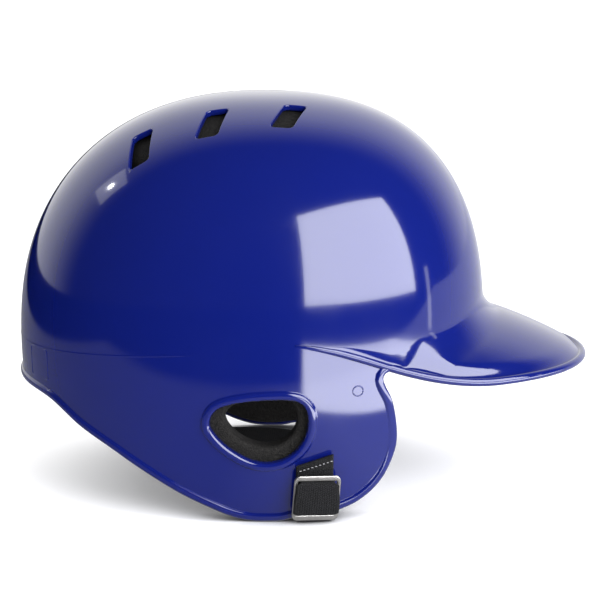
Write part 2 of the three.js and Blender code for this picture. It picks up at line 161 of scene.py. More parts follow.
@dataclass(frozen=True)
class Skin:
    """The helmet's outer skin: a rounded dome over a skirt that leans in. Millimetres."""

    axis_x: float = -22.9
    front_reach: float = 119.1
    rear_reach: float = 129.7
    half_width: float = 102.0
    widest_level: float = 79.9
    rise: float = 127.4
    plan_power: float = 2.15
    front_power: float = 2.56
    rear_power: float = 2.26
    side_power: float = 2.48
    lean: float = 0.09

    def plan_radius(self, angle: Array, grow: Array | float = 0.0) -> Array:
        """Radius of the widest level at a plan angle from straight ahead."""
        reach = np.where(np.cos(angle) > 0, self.front_reach, self.rear_reach) + grow
        forward = np.abs(np.cos(angle)) / reach
        sideways = np.abs(np.sin(angle)) / (self.half_width + grow)
        return (forward**self.plan_power + sideways**self.plan_power) ** (-1 / self.plan_power)

    def lean_scale(self, level: Array) -> Array:
        """How far the skirt has drawn in below the widest level."""
        below = np.maximum(0.0, self.widest_level - level) / 80.0
        return 1.0 - self.lean * below**2

    def power(self, angle: Array, grow: Array | float = 0.0) -> Array:
        """Roundness of the dome's profile at a plan angle."""
        reach = np.where(np.cos(angle) > 0, self.front_reach, self.rear_reach) + grow
        end = np.where(np.cos(angle) > 0, self.front_power, self.rear_power)
        fore = (self.plan_radius(angle, grow) * np.cos(angle) / reach) ** 2
        return self.side_power + (end - self.side_power) * fore

    def share(self, points: Array, grow: Array | float = 0.0) -> Array:
        """How far out points are: below 1 inside the skin, 1 on it and above 1 outside."""
        angle = np.arctan2(points[..., 1], points[..., 0] - self.axis_x)
        across = np.hypot(points[..., 0] - self.axis_x, points[..., 1])
        out = across / (self.plan_radius(angle, grow) * self.lean_scale(points[..., 2]))
        up = np.maximum(points[..., 2] - self.widest_level, 0.0) / (self.rise + grow)
        power = self.power(angle, grow)
        return (out**power + up**power) ** (1 / power)

    def normal(self, points: Array, grow: Array | float = 0.0) -> Array:
        """Outward direction of the skin at points on it."""
        step = 0.05
        slopes = [
            self.share(points + step * axis, grow) - self.share(points - step * axis, grow)
            for axis in np.eye(3)
        ]
        return unit(np.stack(slopes, axis=-1))

    def settle(self, points: Array, along: Array, grow: Array | float = 0.0) -> Array:
        """Slides points along a direction until they lie on the skin.

        Args:
            points: Points near the skin.
            along: The direction for each point.
            grow: How far the skin is grown outwards.

        Returns:
            The points on the skin.
        """
        settled = np.array(points, float)
        for _ in range(6):
            miss = self.share(settled, grow) - 1.0
            step = 0.05
            slope = (
                self.share(settled + step * along, grow) - self.share(settled - step * along, grow)
            ) / (2 * step)
            settled -= along * (miss / np.where(np.abs(slope) < 1e-6, 1e-6, slope))[..., None]
        return settled

    def side_y(self, x: Array, level: Array, grow: Array | float = 0.0) -> Array:
        """Sideways distance of the skin from the middle plane at a place seen from the side."""
        x, level = np.broadcast_arrays(np.asarray(x, float), np.asarray(level, float))
        low, high = np.zeros(x.shape), np.full(x.shape, self.half_width + 20.0)
        for _ in range(30):
            middle = (low + high) / 2
            outside = self.share(np.stack([x, middle, level], axis=-1), grow) > 1.0
            low, high = np.where(outside, low, middle), np.where(outside, middle, high)
        return (low + high) / 2

    def at_angle(self, angle: Array, level: Array, grow: Array | float = 0.0) -> Array:
        """The skin's points at plan angles and levels."""
        radius = self.radius_at(angle, level, grow)
        return np.stack([self.axis_x + radius * np.cos(angle), radius * np.sin(angle), level], axis=-1)

    def radius_at(self, angle: Array, level: Array, grow: Array | float = 0.0) -> Array:
        """Plan radius of the skin at plan angles and levels."""
        power = self.power(angle, grow)
        up = np.clip((level - self.widest_level) / (self.rise + grow), 0.0, 1.0)
        return self.plan_radius(angle, grow) * self.lean_scale(level) * (1 - up**power) ** (1 / power)

    def level_at(self, x: Array, y: Array, grow: Array | float = 0.0) -> Array:
        """Height of the dome over a place in the plan."""
        angle = np.arctan2(y, x - self.axis_x)
        power = self.power(angle, grow)
        share = np.clip(np.hypot(x - self.axis_x, y) / self.plan_radius(angle, grow), 0.0, 1.0)
        return self.widest_level + (self.rise + grow) * (1 - share**power) ** (1 / power)


SKIN = Skin()
WALL = 3.2


@dataclass(frozen=True)
class FlapFrame:
    """Axes on a flap's outer skin: across (forward), up and out, in that order, turned by a few degrees."""

    side: Side
    x: float
    level: float
    turn: float = 0.0

    def place(self, across: Array, up: Array, out: Array) -> Array:
        """Points given along the three axes, in the helmet's own place."""
        origin = np.array([self.x, self.side.value * SKIN.side_y(self.x, self.level), self.level])
        outward = SKIN.normal(origin)
        upward = unit(np.array([0.0, 0.0, 1.0]) - outward * outward[2])
        forward = np.cross(upward, outward)
        cos, sin = math.cos(math.radians(self.turn)), math.sin(math.radians(self.turn))
        first, second = cos * forward + sin * upward, cos * upward - sin * forward
        return (
            origin
            + np.asarray(across)[..., None] * first
            + np.asarray(up)[..., None] * second
            + np.asarray(out)[..., None] * outward
        )


# ------------------------------------------------------------------------------------------ mesh building


def shift_to_frame() -> float:
    """How far forward the helmet sits in the frame, from the webbing that is centred on x = 4.9."""
    low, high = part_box("right_strap")
    return (low.x + high.x) / 2 / MILLIMETRE - Webbing.x


def sheet_mesh(columns: int, rows: int, place: Place) -> bmesh.types.BMesh:
    """A closed skin made from a grid that is bent into shape.

    Args:
        columns: Number of faces along the first direction.
        rows: Number of faces along the second direction.
        place: Turns shares (0 to 1) along both directions into points.

    Returns:
        The mesh, with its meeting edges merged, its open ends filled and its faces outwards.
    """
    bm = bmesh.new()
    bm.loops.layers.uv.new("thread")
    bmesh.ops.create_grid(bm, x_segments=columns, y_segments=rows, size=0.5, calc_uvs=True)
    flat = np.array([vert.co for vert in bm.verts])
    shares = (flat - flat.min(0)) / np.maximum(np.ptp(flat, axis=0), 1e-9)
    for vert, point in zip(bm.verts, place(shares[:, 0], shares[:, 1])):
        vert.co = point
    return close_up(bm)


def close_up(bm: bmesh.types.BMesh, gap: float = 1e-3) -> bmesh.types.BMesh:
    """Merges meeting edges, fills open ends and turns every face outwards."""
    bmesh.ops.remove_doubles(bm, verts=bm.verts, dist=gap)
    bmesh.ops.dissolve_degenerate(bm, edges=bm.edges, dist=1e-5)
    open_edges = [edge for edge in bm.edges if edge.is_boundary]
    if open_edges:
        bmesh.ops.holes_fill(bm, edges=open_edges, sides=0)
    bmesh.ops.recalc_face_normals(bm, faces=bm.faces)
    if bm.calc_volume(signed=True) < 0:
        bmesh.ops.reverse_faces(bm, faces=bm.faces)
    bm.normal_update()
    return bm


def sweep(
    path: Array, outward: Array, profile: Array, closed: bool, inward_sign: float = 1.0
) -> bmesh.types.BMesh:
    """A bar of any section that follows a line on a surface.

    Args:
        path: Points along the line.
        outward: The surface's outward direction at each point.
        profile: The section's outline as (along the surface, outward), one for all or one for each point.
        closed: Whether the line comes back to its start.
        inward_sign: Turns the section's first direction to the line's other hand.

    Returns:
        The closed bar.
    """
    if closed:
        tangent = unit(np.roll(path, -1, axis=0) - np.roll(path, 1, axis=0))
    else:
        tangent = unit(np.gradient(path, axis=0))
    aside = unit(np.cross(outward, tangent)) * inward_sign
    sections = np.broadcast_to(profile, (len(path), *profile.shape[-2:]))
    count, corners = len(path), sections.shape[1]

    def place(s: Array, t: Array) -> Array:
        """The place of a share along the path and round the profile."""
        i = np.rint(s * (count if closed else count - 1)).astype(int) % count
        j = np.rint(t * corners).astype(int) % corners
        spot = sections[i, j]
        return path[i] + aside[i] * spot[:, :1] + outward[i] * spot[:, 1:]

    return sheet_mesh(count if closed else count - 1, corners, place)


def lathe(profile: list[tuple[float, float]], steps: int = 40) -> bmesh.types.BMesh:
    """A turned piece.

    Args:
        profile: (radius, height) along the outline, starting and ending on the axis or on one another.
        steps: Number of faces round the axis.

    Returns:
        The turned mesh about its own Z axis.
    """
    bm = bmesh.new()
    verts = [bm.verts.new((radius, 0.0, height)) for radius, height in profile]
    edges = [bm.edges.new(pair) for pair in zip(verts, verts[1:])]
    bmesh.ops.spin(
        bm,
        geom=[*verts, *edges],
        cent=(0, 0, 0),
        axis=(0, 0, 1),
        angle=2 * math.pi,
        steps=steps,
        use_merge=True,
    )
    return close_up(bm)


def rounded_ring(half_x: float, half_y: float, radius: float, steps: int = 8) -> Array:
    """Outline of a rounded rectangle about the origin, counter-clockwise."""
    corners = []
    for quarter in range(4):
        centre_x = (half_x - radius) * (1 if quarter in (0, 3) else -1)
        centre_y = (half_y - radius) * (1 if quarter in (0, 1) else -1)
        turn = np.radians(90 * quarter) + np.linspace(0, math.pi / 2, steps + 1)
        corners.append(
            np.stack([centre_x + radius * np.cos(turn), centre_y + radius * np.sin(turn)], axis=-1)
        )
    return np.vstack(corners)


def prism(outline: Array, place: Callable[[Array], Array], low: float, high: float) -> bmesh.types.BMesh:
    """A straight cutting body.

    Args:
        outline: The body's closed outline, two coordinates for each point.
        place: Turns (first, second, depth) rows into points.
        low: Depth of one end.
        high: Depth of the other end.

    Returns:
        The closed body.
    """
    bm = bmesh.new()
    verts = [bm.verts.new((u, v, low)) for u, v in outline]
    face = bm.faces.new(verts)
    raised = bmesh.ops.extrude_face_region(bm, geom=[face])
    moved = [item for item in raised["geom"] if isinstance(item, bmesh.types.BMVert)]
    bmesh.ops.translate(bm, verts=moved, vec=(0, 0, high - low))
    points = place(np.array([vert.co for vert in bm.verts]))
    for vert, point in zip(bm.verts, points):
        vert.co = point
    bmesh.ops.triangulate(bm, faces=bm.faces)
    return close_up(bm)


def joined(parts: list[bmesh.types.BMesh]) -> bmesh.types.BMesh:
    """All the parts in one mesh, in the order given."""
    whole = bmesh.new()
    whole.loops.layers.uv.new("thread")
    for part in parts:
        carrier = bpy.data.meshes.new("carrier")
        part.to_mesh(carrier)
        part.free()
        whole.from_mesh(carrier)
        bpy.data.meshes.remove(carrier)
    whole.normal_update()
    return whole


def as_object(name: str, bm: bmesh.types.BMesh, smooth_angle: float | None = 40.0) -> bpy.types.Object:
    """Sets a mesh built in millimetres down in the frame as a finished object at the origin.

    Args:
        name: The piece's name.
        bm: The mesh, which is used up.
        smooth_angle: Edges sharper than this many degrees stay sharp; None smooths them all.

    Returns:
        The object, linked to the scene.
    """
    for face in bm.faces:
        face.smooth = True
    if smooth_angle is not None:
        for edge in bm.edges:
            edge.smooth = not edge.is_manifold or edge.calc_face_angle(0.0) < math.radians(smooth_angle)
    bmesh.ops.translate(bm, verts=bm.verts, vec=(shift_to_frame(), 0, 0))
    bmesh.ops.scale(bm, verts=bm.verts, vec=(MILLIMETRE,) * 3)
    mesh = bpy.data.meshes.new(name)
    bm.to_mesh(mesh)
    bm.free()
    piece = bpy.data.objects.new(name, mesh)
    bpy.context.scene.collection.objects.link(piece)
    return piece


def cut_away(body: bmesh.types.BMesh, cutters: list[bmesh.types.BMesh]) -> bmesh.types.BMesh:
    """What is left of a body when the cutters, which don't touch one another, are taken away from it."""
    holders = []
    for name, part in (("blank", body), ("cutters", joined(cutters))):
        mesh = bpy.data.meshes.new(name)
        part.to_mesh(mesh)
        part.free()
        holder = bpy.data.objects.new(name, mesh)
        bpy.context.scene.collection.objects.link(holder)
        holders.append(holder)
    blank, knife = holders
    modifier = blank.modifiers.new("cut", "BOOLEAN")
    modifier.operation = "DIFFERENCE"
    modifier.solver = "EXACT"
    modifier.object = knife
    graph = bpy.context.evaluated_depsgraph_get()
    result = bpy.data.meshes.new_from_object(blank.evaluated_get(graph))
    left = bmesh.new()
    left.from_mesh(result)
    for holder in holders:
        mesh = holder.data
        bpy.data.objects.remove(holder)
        bpy.data.meshes.remove(mesh)
    bpy.data.meshes.remove(result)
    return left


def place_piece(
    piece: bpy.types.Object, finish: bpy.types.Material, slot: Slot, body: Body | None, *nodes: str
) -> bpy.types.Object:
    """Gives a piece its finish, puts it on its body and lets it stand for its CAD nodes."""
    piece.data.materials.clear()
    piece.data.materials.append(finish)
    if body is not None:
        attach(piece, body.value)
    if nodes:
        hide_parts(*nodes)
    low, high = piece_box(piece)
    faces = len(piece.data.polygons)
    log.info("%s: %d faces, x %.1f to %.1f mm", piece.name, faces, low[0] * 1e3, high[0] * 1e3)
    return piece


def piece_box(piece: bpy.types.Object) -> tuple[Array, Array]:
    """Lowest and highest corners of a piece's own mesh."""
    flat = np.empty(len(piece.data.vertices) * 3, np.float32)
    piece.data.vertices.foreach_get("co", flat)
    points = flat.reshape(-1, 3)
    return points.min(0), points.max(0)


# ------------------------------------------------------------------------------------------ finishes


class Sheet:
    """A node tree that is written as short calls."""

    def __init__(self, tree: bpy.types.NodeTree) -> None:
        """Starts on an empty tree."""
        self.tree = tree
        self.tree.nodes.clear()

    def add(self, kind: str, values: dict | None = None, **settings: object) -> bpy.types.Node:
        """Adds a node.

        Args:
            kind: The node's type name.
            values: For each input, its value or the socket that feeds it.
            settings: The node's own properties.

        Returns:
            The node.
        """
        node = self.tree.nodes.new(kind)
        for key, value in settings.items():
            setattr(node, key, value)
        for key, value in (values or {}).items():
            if isinstance(value, bpy.types.NodeSocket):
                self.tree.links.new(value, node.inputs[key])
            else:
                node.inputs[key].default_value = value
        return node

    def sum(self, operation: str, first: object, second: object = 0.5) -> bpy.types.NodeSocket:
        """Result of a sum on one or two values."""
        return self.add("ShaderNodeMath", {0: first, 1: second}, operation=operation).outputs[0]

    def ramp(
        self, value: object, low: tuple[float, object], high: tuple[float, object]
    ) -> bpy.types.NodeSocket:
        """A value spread between two ends, each (from, to)."""
        values = {
            "Value": value,
            "From Min": low[0],
            "From Max": high[0],
            "To Min": low[1],
            "To Max": high[1],
        }
        return self.add("ShaderNodeMapRange", values).outputs[0]

    def blend(self, share: object, first: object, second: object) -> bpy.types.NodeSocket:
        """A colour between two colours."""
        node = self.add("ShaderNodeMix", {0: share, 6: first, 7: second}, data_type="RGBA")
        return node.outputs[2]


def node_group(
    name: str, inputs: dict[str, float], outputs: tuple[str, ...]
) -> tuple[Sheet, dict, bpy.types.Node]:
    """An empty shared group.

    Args:
        name: The group's name.
        inputs: Its value inputs and what they are unless set; "Place" is always there as a vector.
        outputs: Its value outputs.

    Returns:
        The sheet to write on, the group's input sockets and its output node.
    """
    tree = bpy.data.node_groups.new(name, "ShaderNodeTree")
    tree.interface.new_socket("Place", in_out="INPUT", socket_type="NodeSocketVector")
    for label, value in inputs.items():
        socket = tree.interface.new_socket(label, in_out="INPUT", socket_type="NodeSocketFloat")
        socket.default_value = value
    for label in outputs:
        tree.interface.new_socket(label, in_out="OUTPUT", socket_type="NodeSocketFloat")
    sheet = Sheet(tree)
    source = sheet.add("NodeGroupInput")
    return sheet, source.outputs, sheet.add("NodeGroupOutput")


def grain_group() -> bpy.types.NodeTree:
    """Grain: fine pits over broad waves, with a mask of the pits."""
    sheet, given, result = node_group(
        "grain", {"Pits": 900.0, "Waves": 40.0, "Wave share": 0.3}, ("Height", "Mask")
    )
    pits = sheet.add(
        "ShaderNodeTexVoronoi", {"Vector": given["Place"], "Scale": given["Pits"]}
    ).outputs["Distance"]
    fine = sheet.add(
        "ShaderNodeTexNoise", {"Vector": given["Place"], "Scale": given["Pits"], "Detail": 4.0}
    ).outputs[0]
    waves = sheet.add(
        "ShaderNodeTexNoise", {"Vector": given["Place"], "Scale": given["Waves"], "Detail": 2.0}
    )
    both = sheet.sum("MULTIPLY", pits, fine)
    broad = sheet.sum("MULTIPLY", waves.outputs[0], given["Wave share"])
    height = sheet.sum("ADD", both, broad)
    sheet.tree.links.new(height, result.inputs["Height"])
    sheet.tree.links.new(sheet.ramp(fine, (0.35, 0.0), (0.68, 1.0)), result.inputs["Mask"])
    return sheet.tree


def marks_group() -> bpy.types.NodeTree:
    """Handling marks: hairline scratches and faint smudges."""
    sheet, given, result = node_group("handling_marks", {"Size": 40.0}, ("Scratches", "Smudges"))
    swirl = sheet.add("ShaderNodeTexNoise", {"Vector": given["Place"], "Scale": given["Size"], "Detail": 3.0})
    bent = sheet.add("ShaderNodeVectorMath", {0: given["Place"], 1: swirl.outputs["Color"]}, operation="ADD")
    hairs = sheet.add(
        "ShaderNodeTexWave",
        {
            "Vector": bent.outputs[0],
            "Scale": given["Size"],
            "Distortion": 6.0,
            "Detail": 3.0,
            "Detail Scale": 2.0,
        },
        bands_direction="DIAGONAL",
    ).outputs["Fac"]
    patches = sheet.add(
        "ShaderNodeTexNoise", {"Vector": given["Place"], "Scale": given["Size"], "Detail": 5.0}
    )
    thin = sheet.ramp(hairs, (0.985, 0.0), (1.0, 1.0))
    here = sheet.ramp(patches.outputs[0], (0.55, 0.0), (0.7, 1.0))
    sheet.tree.links.new(sheet.sum("MULTIPLY", thin, here), result.inputs["Scratches"])
    sheet.tree.links.new(sheet.ramp(patches.outputs[0], (0.3, 0.0), (0.75, 1.0)), result.inputs["Smudges"])
    return sheet.tree


def weave_group() -> bpy.types.NodeTree:
    """Webbing weave: staggered ribs across the band, from a place counted in threads."""
    sheet, given, result = node_group("webbing_weave", {"Fuzz": 0.3}, ("Height", "Mask"))
    parts = sheet.add("ShaderNodeSeparateXYZ", {0: given["Place"]})
    across, along = parts.outputs[0], parts.outputs[1]
    column = sheet.sum("FLOOR", across)
    odd = sheet.sum("MODULO", column, 2.0)
    stagger = sheet.sum("MULTIPLY", odd, 0.5)
    rib = sheet.sum("PINGPONG", sheet.sum("ADD", along, stagger), 0.5)
    groove = sheet.sum("PINGPONG", across, 0.5)
    rib_height = sheet.ramp(rib, (0.0, 0.0), (0.3, 1.0))
    groove_height = sheet.ramp(groove, (0.0, 0.0), (0.22, 1.0))
    woven = sheet.sum("MULTIPLY", rib_height, groove_height)
    noise = sheet.add("ShaderNodeTexNoise", {"Vector": given["Place"], "Scale": 3.0, "Detail": 4.0})
    fuzz = sheet.sum("MULTIPLY", noise.outputs[0], given["Fuzz"])
    sheet.tree.links.new(sheet.sum("ADD", woven, fuzz), result.inputs["Height"])
    sheet.tree.links.new(woven, result.inputs["Mask"])
    return sheet.tree


@dataclass(frozen=True)
class Groups:
    """The shared effects."""

    grain: bpy.types.NodeTree
    marks: bpy.types.NodeTree
    weave: bpy.types.NodeTree


def new_material(name: str) -> tuple[bpy.types.Material, Sheet]:
    """A material with an empty node sheet."""
    material = bpy.data.materials.new(name)
    material.use_nodes = True
    return material, Sheet(material.node_tree)


def use_group(sheet: Sheet, group: bpy.types.NodeTree, values: dict) -> bpy.types.Node:
    """Places a shared effect in a material."""
    node = sheet.add("ShaderNodeGroup", node_tree=group)
    for key, value in values.items():
        if isinstance(value, bpy.types.NodeSocket):
            sheet.tree.links.new(value, node.inputs[key])
        else:
            node.inputs[key].default_value = value
    return node


@dataclass(frozen=True)
class GlossPlastic:
    """Moulded, glossy helmet plastic."""

    name: str = "gloss_blue_plastic"
    deep: tuple = (0.0023, 0.0058, 0.084, 1.0)
    bright: tuple = (0.0029, 0.0072, 0.102, 1.0)

    def build(self, groups: Groups) -> bpy.types.Material:
        """The finished material."""
        material, sheet = new_material(self.name)
        place = sheet.add("ShaderNodeTexCoord").outputs["Object"]
        grain = use_group(
            sheet, groups.grain, {"Place": place, "Pits": 900.0, "Waves": 55.0, "Wave share": 0.6}
        )
        marks = use_group(sheet, groups.marks, {"Place": place, "Size": 26.0})
        flow = sheet.add("ShaderNodeTexNoise", {"Vector": place, "Scale": 9.0, "Detail": 3.0}).outputs[0]
        colour = sheet.blend(flow, self.deep, self.bright)
        gloss = sheet.ramp(marks.outputs["Smudges"], (0.0, 0.075), (1.0, 0.12))
        rough = sheet.sum("ADD", gloss, sheet.sum("MULTIPLY", marks.outputs["Scratches"], 0.12))
        skin = sheet.add(
            "ShaderNodeBump", {"Height": grain.outputs["Height"], "Strength": 0.014, "Distance": 0.0002}
        )
        shader = sheet.add(
            "ShaderNodeBsdfPrincipled",
            {"Base Color": colour, "Roughness": rough, "Normal": skin.outputs[0], "IOR": 1.5},
        )
        shader.inputs["Coat Weight"].default_value = 0.35
        shader.inputs["Coat Roughness"].default_value = 0.03
        sheet.add("ShaderNodeOutputMaterial", {"Surface": shader.outputs[0]})
        return material


@dataclass(frozen=True)
class Foam:
    """Closed-cell liner foam with a fine skin of cells."""

    name: str = "liner_foam"
    dark: tuple = (0.0026, 0.0025, 0.0023, 1.0)
    pale: tuple = (0.0155, 0.0142, 0.0125, 1.0)

    def build(self, groups: Groups) -> bpy.types.Material:
        """The finished material."""
        material, sheet = new_material(self.name)
        place = sheet.add("ShaderNodeTexCoord").outputs["Object"]
        grain = use_group(
            sheet, groups.grain, {"Place": place, "Pits": 1500.0, "Waves": 160.0, "Wave share": 0.5}
        )
        colour = sheet.blend(grain.outputs["Mask"], self.dark, self.pale)
        cells = sheet.add(
            "ShaderNodeBump", {"Height": grain.outputs["Height"], "Strength": 0.55, "Distance": 0.0007}
        )
        rough = sheet.ramp(grain.outputs["Mask"], (0.0, 0.95), (1.0, 0.72))
        shader = sheet.add(
            "ShaderNodeBsdfPrincipled", {"Base Color": colour, "Roughness": rough, "Normal": cells.outputs[0]}
        )
        shader.inputs["Specular IOR Level"].default_value = 0.22
        sheet.add("ShaderNodeOutputMaterial", {"Surface": shader.outputs[0]})
        return material


@dataclass(frozen=True)
class BlackWebbing:
    """Woven black strap webbing; threads counted along the piece's own map."""

    name: str
    threads: tuple[float, float]
    dark: tuple = (0.0006, 0.0006, 0.0007, 1.0)
    pale: tuple = (0.0085, 0.0085, 0.0095, 1.0)

    def build(self, groups: Groups) -> bpy.types.Material:
        """The finished material."""
        material, sheet = new_material(self.name)
        threads = sheet.add(
            "ShaderNodeMapping", {"Vector": sheet.add("ShaderNodeUVMap", uv_map="thread").outputs[0]}
        )
        threads.inputs["Scale"].default_value = (*self.threads, 1.0)
        weave = use_group(sheet, groups.weave, {"Place": threads.outputs[0], "Fuzz": 0.35})
        wear = sheet.add(
            "ShaderNodeTexNoise",
            {"Vector": sheet.add("ShaderNodeTexCoord").outputs["Object"], "Scale": 260.0, "Detail": 4.0},
        ).outputs[0]
        # Painted highlight and shade: the weave's rib tops are painted paler and its grooves darker, more
        # strongly in the patches the wear noise picks.
        lift = sheet.sum("MULTIPLY", weave.outputs["Mask"], sheet.ramp(wear, (0.3, 0.35), (0.7, 1.0)))
        colour = sheet.blend(lift, self.dark, self.pale)
        threads_relief = sheet.add(
            "ShaderNodeBump", {"Height": weave.outputs["Height"], "Strength": 0.7, "Distance": 0.0004}
        )
        rough = sheet.ramp(wear, (0.2, 0.62), (0.8, 0.82))
        shader = sheet.add(
            "ShaderNodeBsdfPrincipled",
            {"Base Color": colour, "Roughness": rough, "Normal": threads_relief.outputs[0]},
        )
        shader.inputs["Specular IOR Level"].default_value = 0.25
        shader.inputs["Sheen Weight"].default_value = 0.02
        shader.inputs["Sheen Roughness"].default_value = 0.5
        sheet.add("ShaderNodeOutputMaterial", {"Surface": shader.outputs[0]})
        return material


@dataclass(frozen=True)
class Thread:
    """Pale sewing thread with a fine twist."""

    name: str = "hem_thread"
    dark: tuple = (0.11, 0.11, 0.115, 1.0)
    pale: tuple = (0.34, 0.335, 0.33, 1.0)

    def build(self, groups: Groups) -> bpy.types.Material:
        """The finished material."""
        material, sheet = new_material(self.name)
        place = sheet.add("ShaderNodeTexCoord").outputs["Object"]
        grain = use_group(
            sheet, groups.grain, {"Place": place, "Pits": 5200.0, "Waves": 900.0, "Wave share": 0.4}
        )
        colour = sheet.blend(grain.outputs["Mask"], self.dark, self.pale)
        twist = sheet.add(
            "ShaderNodeBump", {"Height": grain.outputs["Height"], "Strength": 0.5, "Distance": 0.0002}
        )
        rough = sheet.ramp(grain.outputs["Mask"], (0.0, 0.8), (1.0, 0.6))
        shader = sheet.add(
            "ShaderNodeBsdfPrincipled", {"Base Color": colour, "Roughness": rough, "Normal": twist.outputs[0]}
        )
        sheet.add("ShaderNodeOutputMaterial", {"Surface": shader.outputs[0]})
        return material


@dataclass(frozen=True)
class SatinMetal:
    """Plated steel with fine handling scratches."""

    name: str = "satin_nickel"
    plain: tuple = (0.47, 0.455, 0.425, 1.0)
    worn: tuple = (0.27, 0.26, 0.24, 1.0)

    def build(self, groups: Groups) -> bpy.types.Material:
        """The finished material."""
        material, sheet = new_material(self.name)
        place = sheet.add("ShaderNodeTexCoord").outputs["Object"]
        marks = use_group(sheet, groups.marks, {"Place": place, "Size": 420.0})
        grain = use_group(
            sheet, groups.grain, {"Place": place, "Pits": 2600.0, "Waves": 300.0, "Wave share": 0.8}
        )
        wear = sheet.sum("MULTIPLY", marks.outputs["Smudges"], 0.45)
        colour = sheet.blend(wear, self.plain, self.worn)
        rough = sheet.ramp(grain.outputs["Mask"], (0.0, 0.3), (1.0, 0.42))
        scratched = sheet.sum("SUBTRACT", grain.outputs["Height"], marks.outputs["Scratches"])
        relief = sheet.add("ShaderNodeBump", {"Height": scratched, "Strength": 0.25, "Distance": 0.0001})
        shader = sheet.add(
            "ShaderNodeBsdfPrincipled",
            {"Base Color": colour, "Roughness": rough, "Metallic": 1.0, "Normal": relief.outputs[0]},
        )
        sheet.add("ShaderNodeOutputMaterial", {"Surface": shader.outputs[0]})
        return material


# ------------------------------------------------------------------------------------------ shell


@dataclass
class Bead:
    """Section of the rolled bead along the shell's free edges, in (from the edge, outward)."""

    width: float = 4.2
    proud: float = 1.4
    tuck: float = 1.1

    def section(self, share: Array, wall: float = WALL) -> Array:
        """One section for each place along the edge, the bead standing proud by a share of its height."""
        half = self.width / 2
        turn = np.linspace(math.radians(8), math.pi, 15)
        crown = np.stack([half + half * np.cos(turn), np.sin(turn)], axis=-1)
        foot = [(self.width + self.tuck, -0.6), (self.width + 0.5, -0.02), (self.width + 0.1, 0.02)]
        corner = np.linspace(math.pi, 1.5 * math.pi, 7)
        back = np.stack([0.9 + 0.9 * np.cos(corner), 0.9 - wall + 0.9 * np.sin(corner)], axis=-1)
        inner = [(self.width, -wall), (self.width + self.tuck, 0.5 - wall)]
        raised = crown[None] * np.stack([np.ones_like(share), self.proud * share], axis=-1)[:, None]
        rest = np.broadcast_to(np.vstack([back, inner, foot]), (len(share), len(back) + 5, 2))
        return np.concatenate([raised, rest], axis=1)


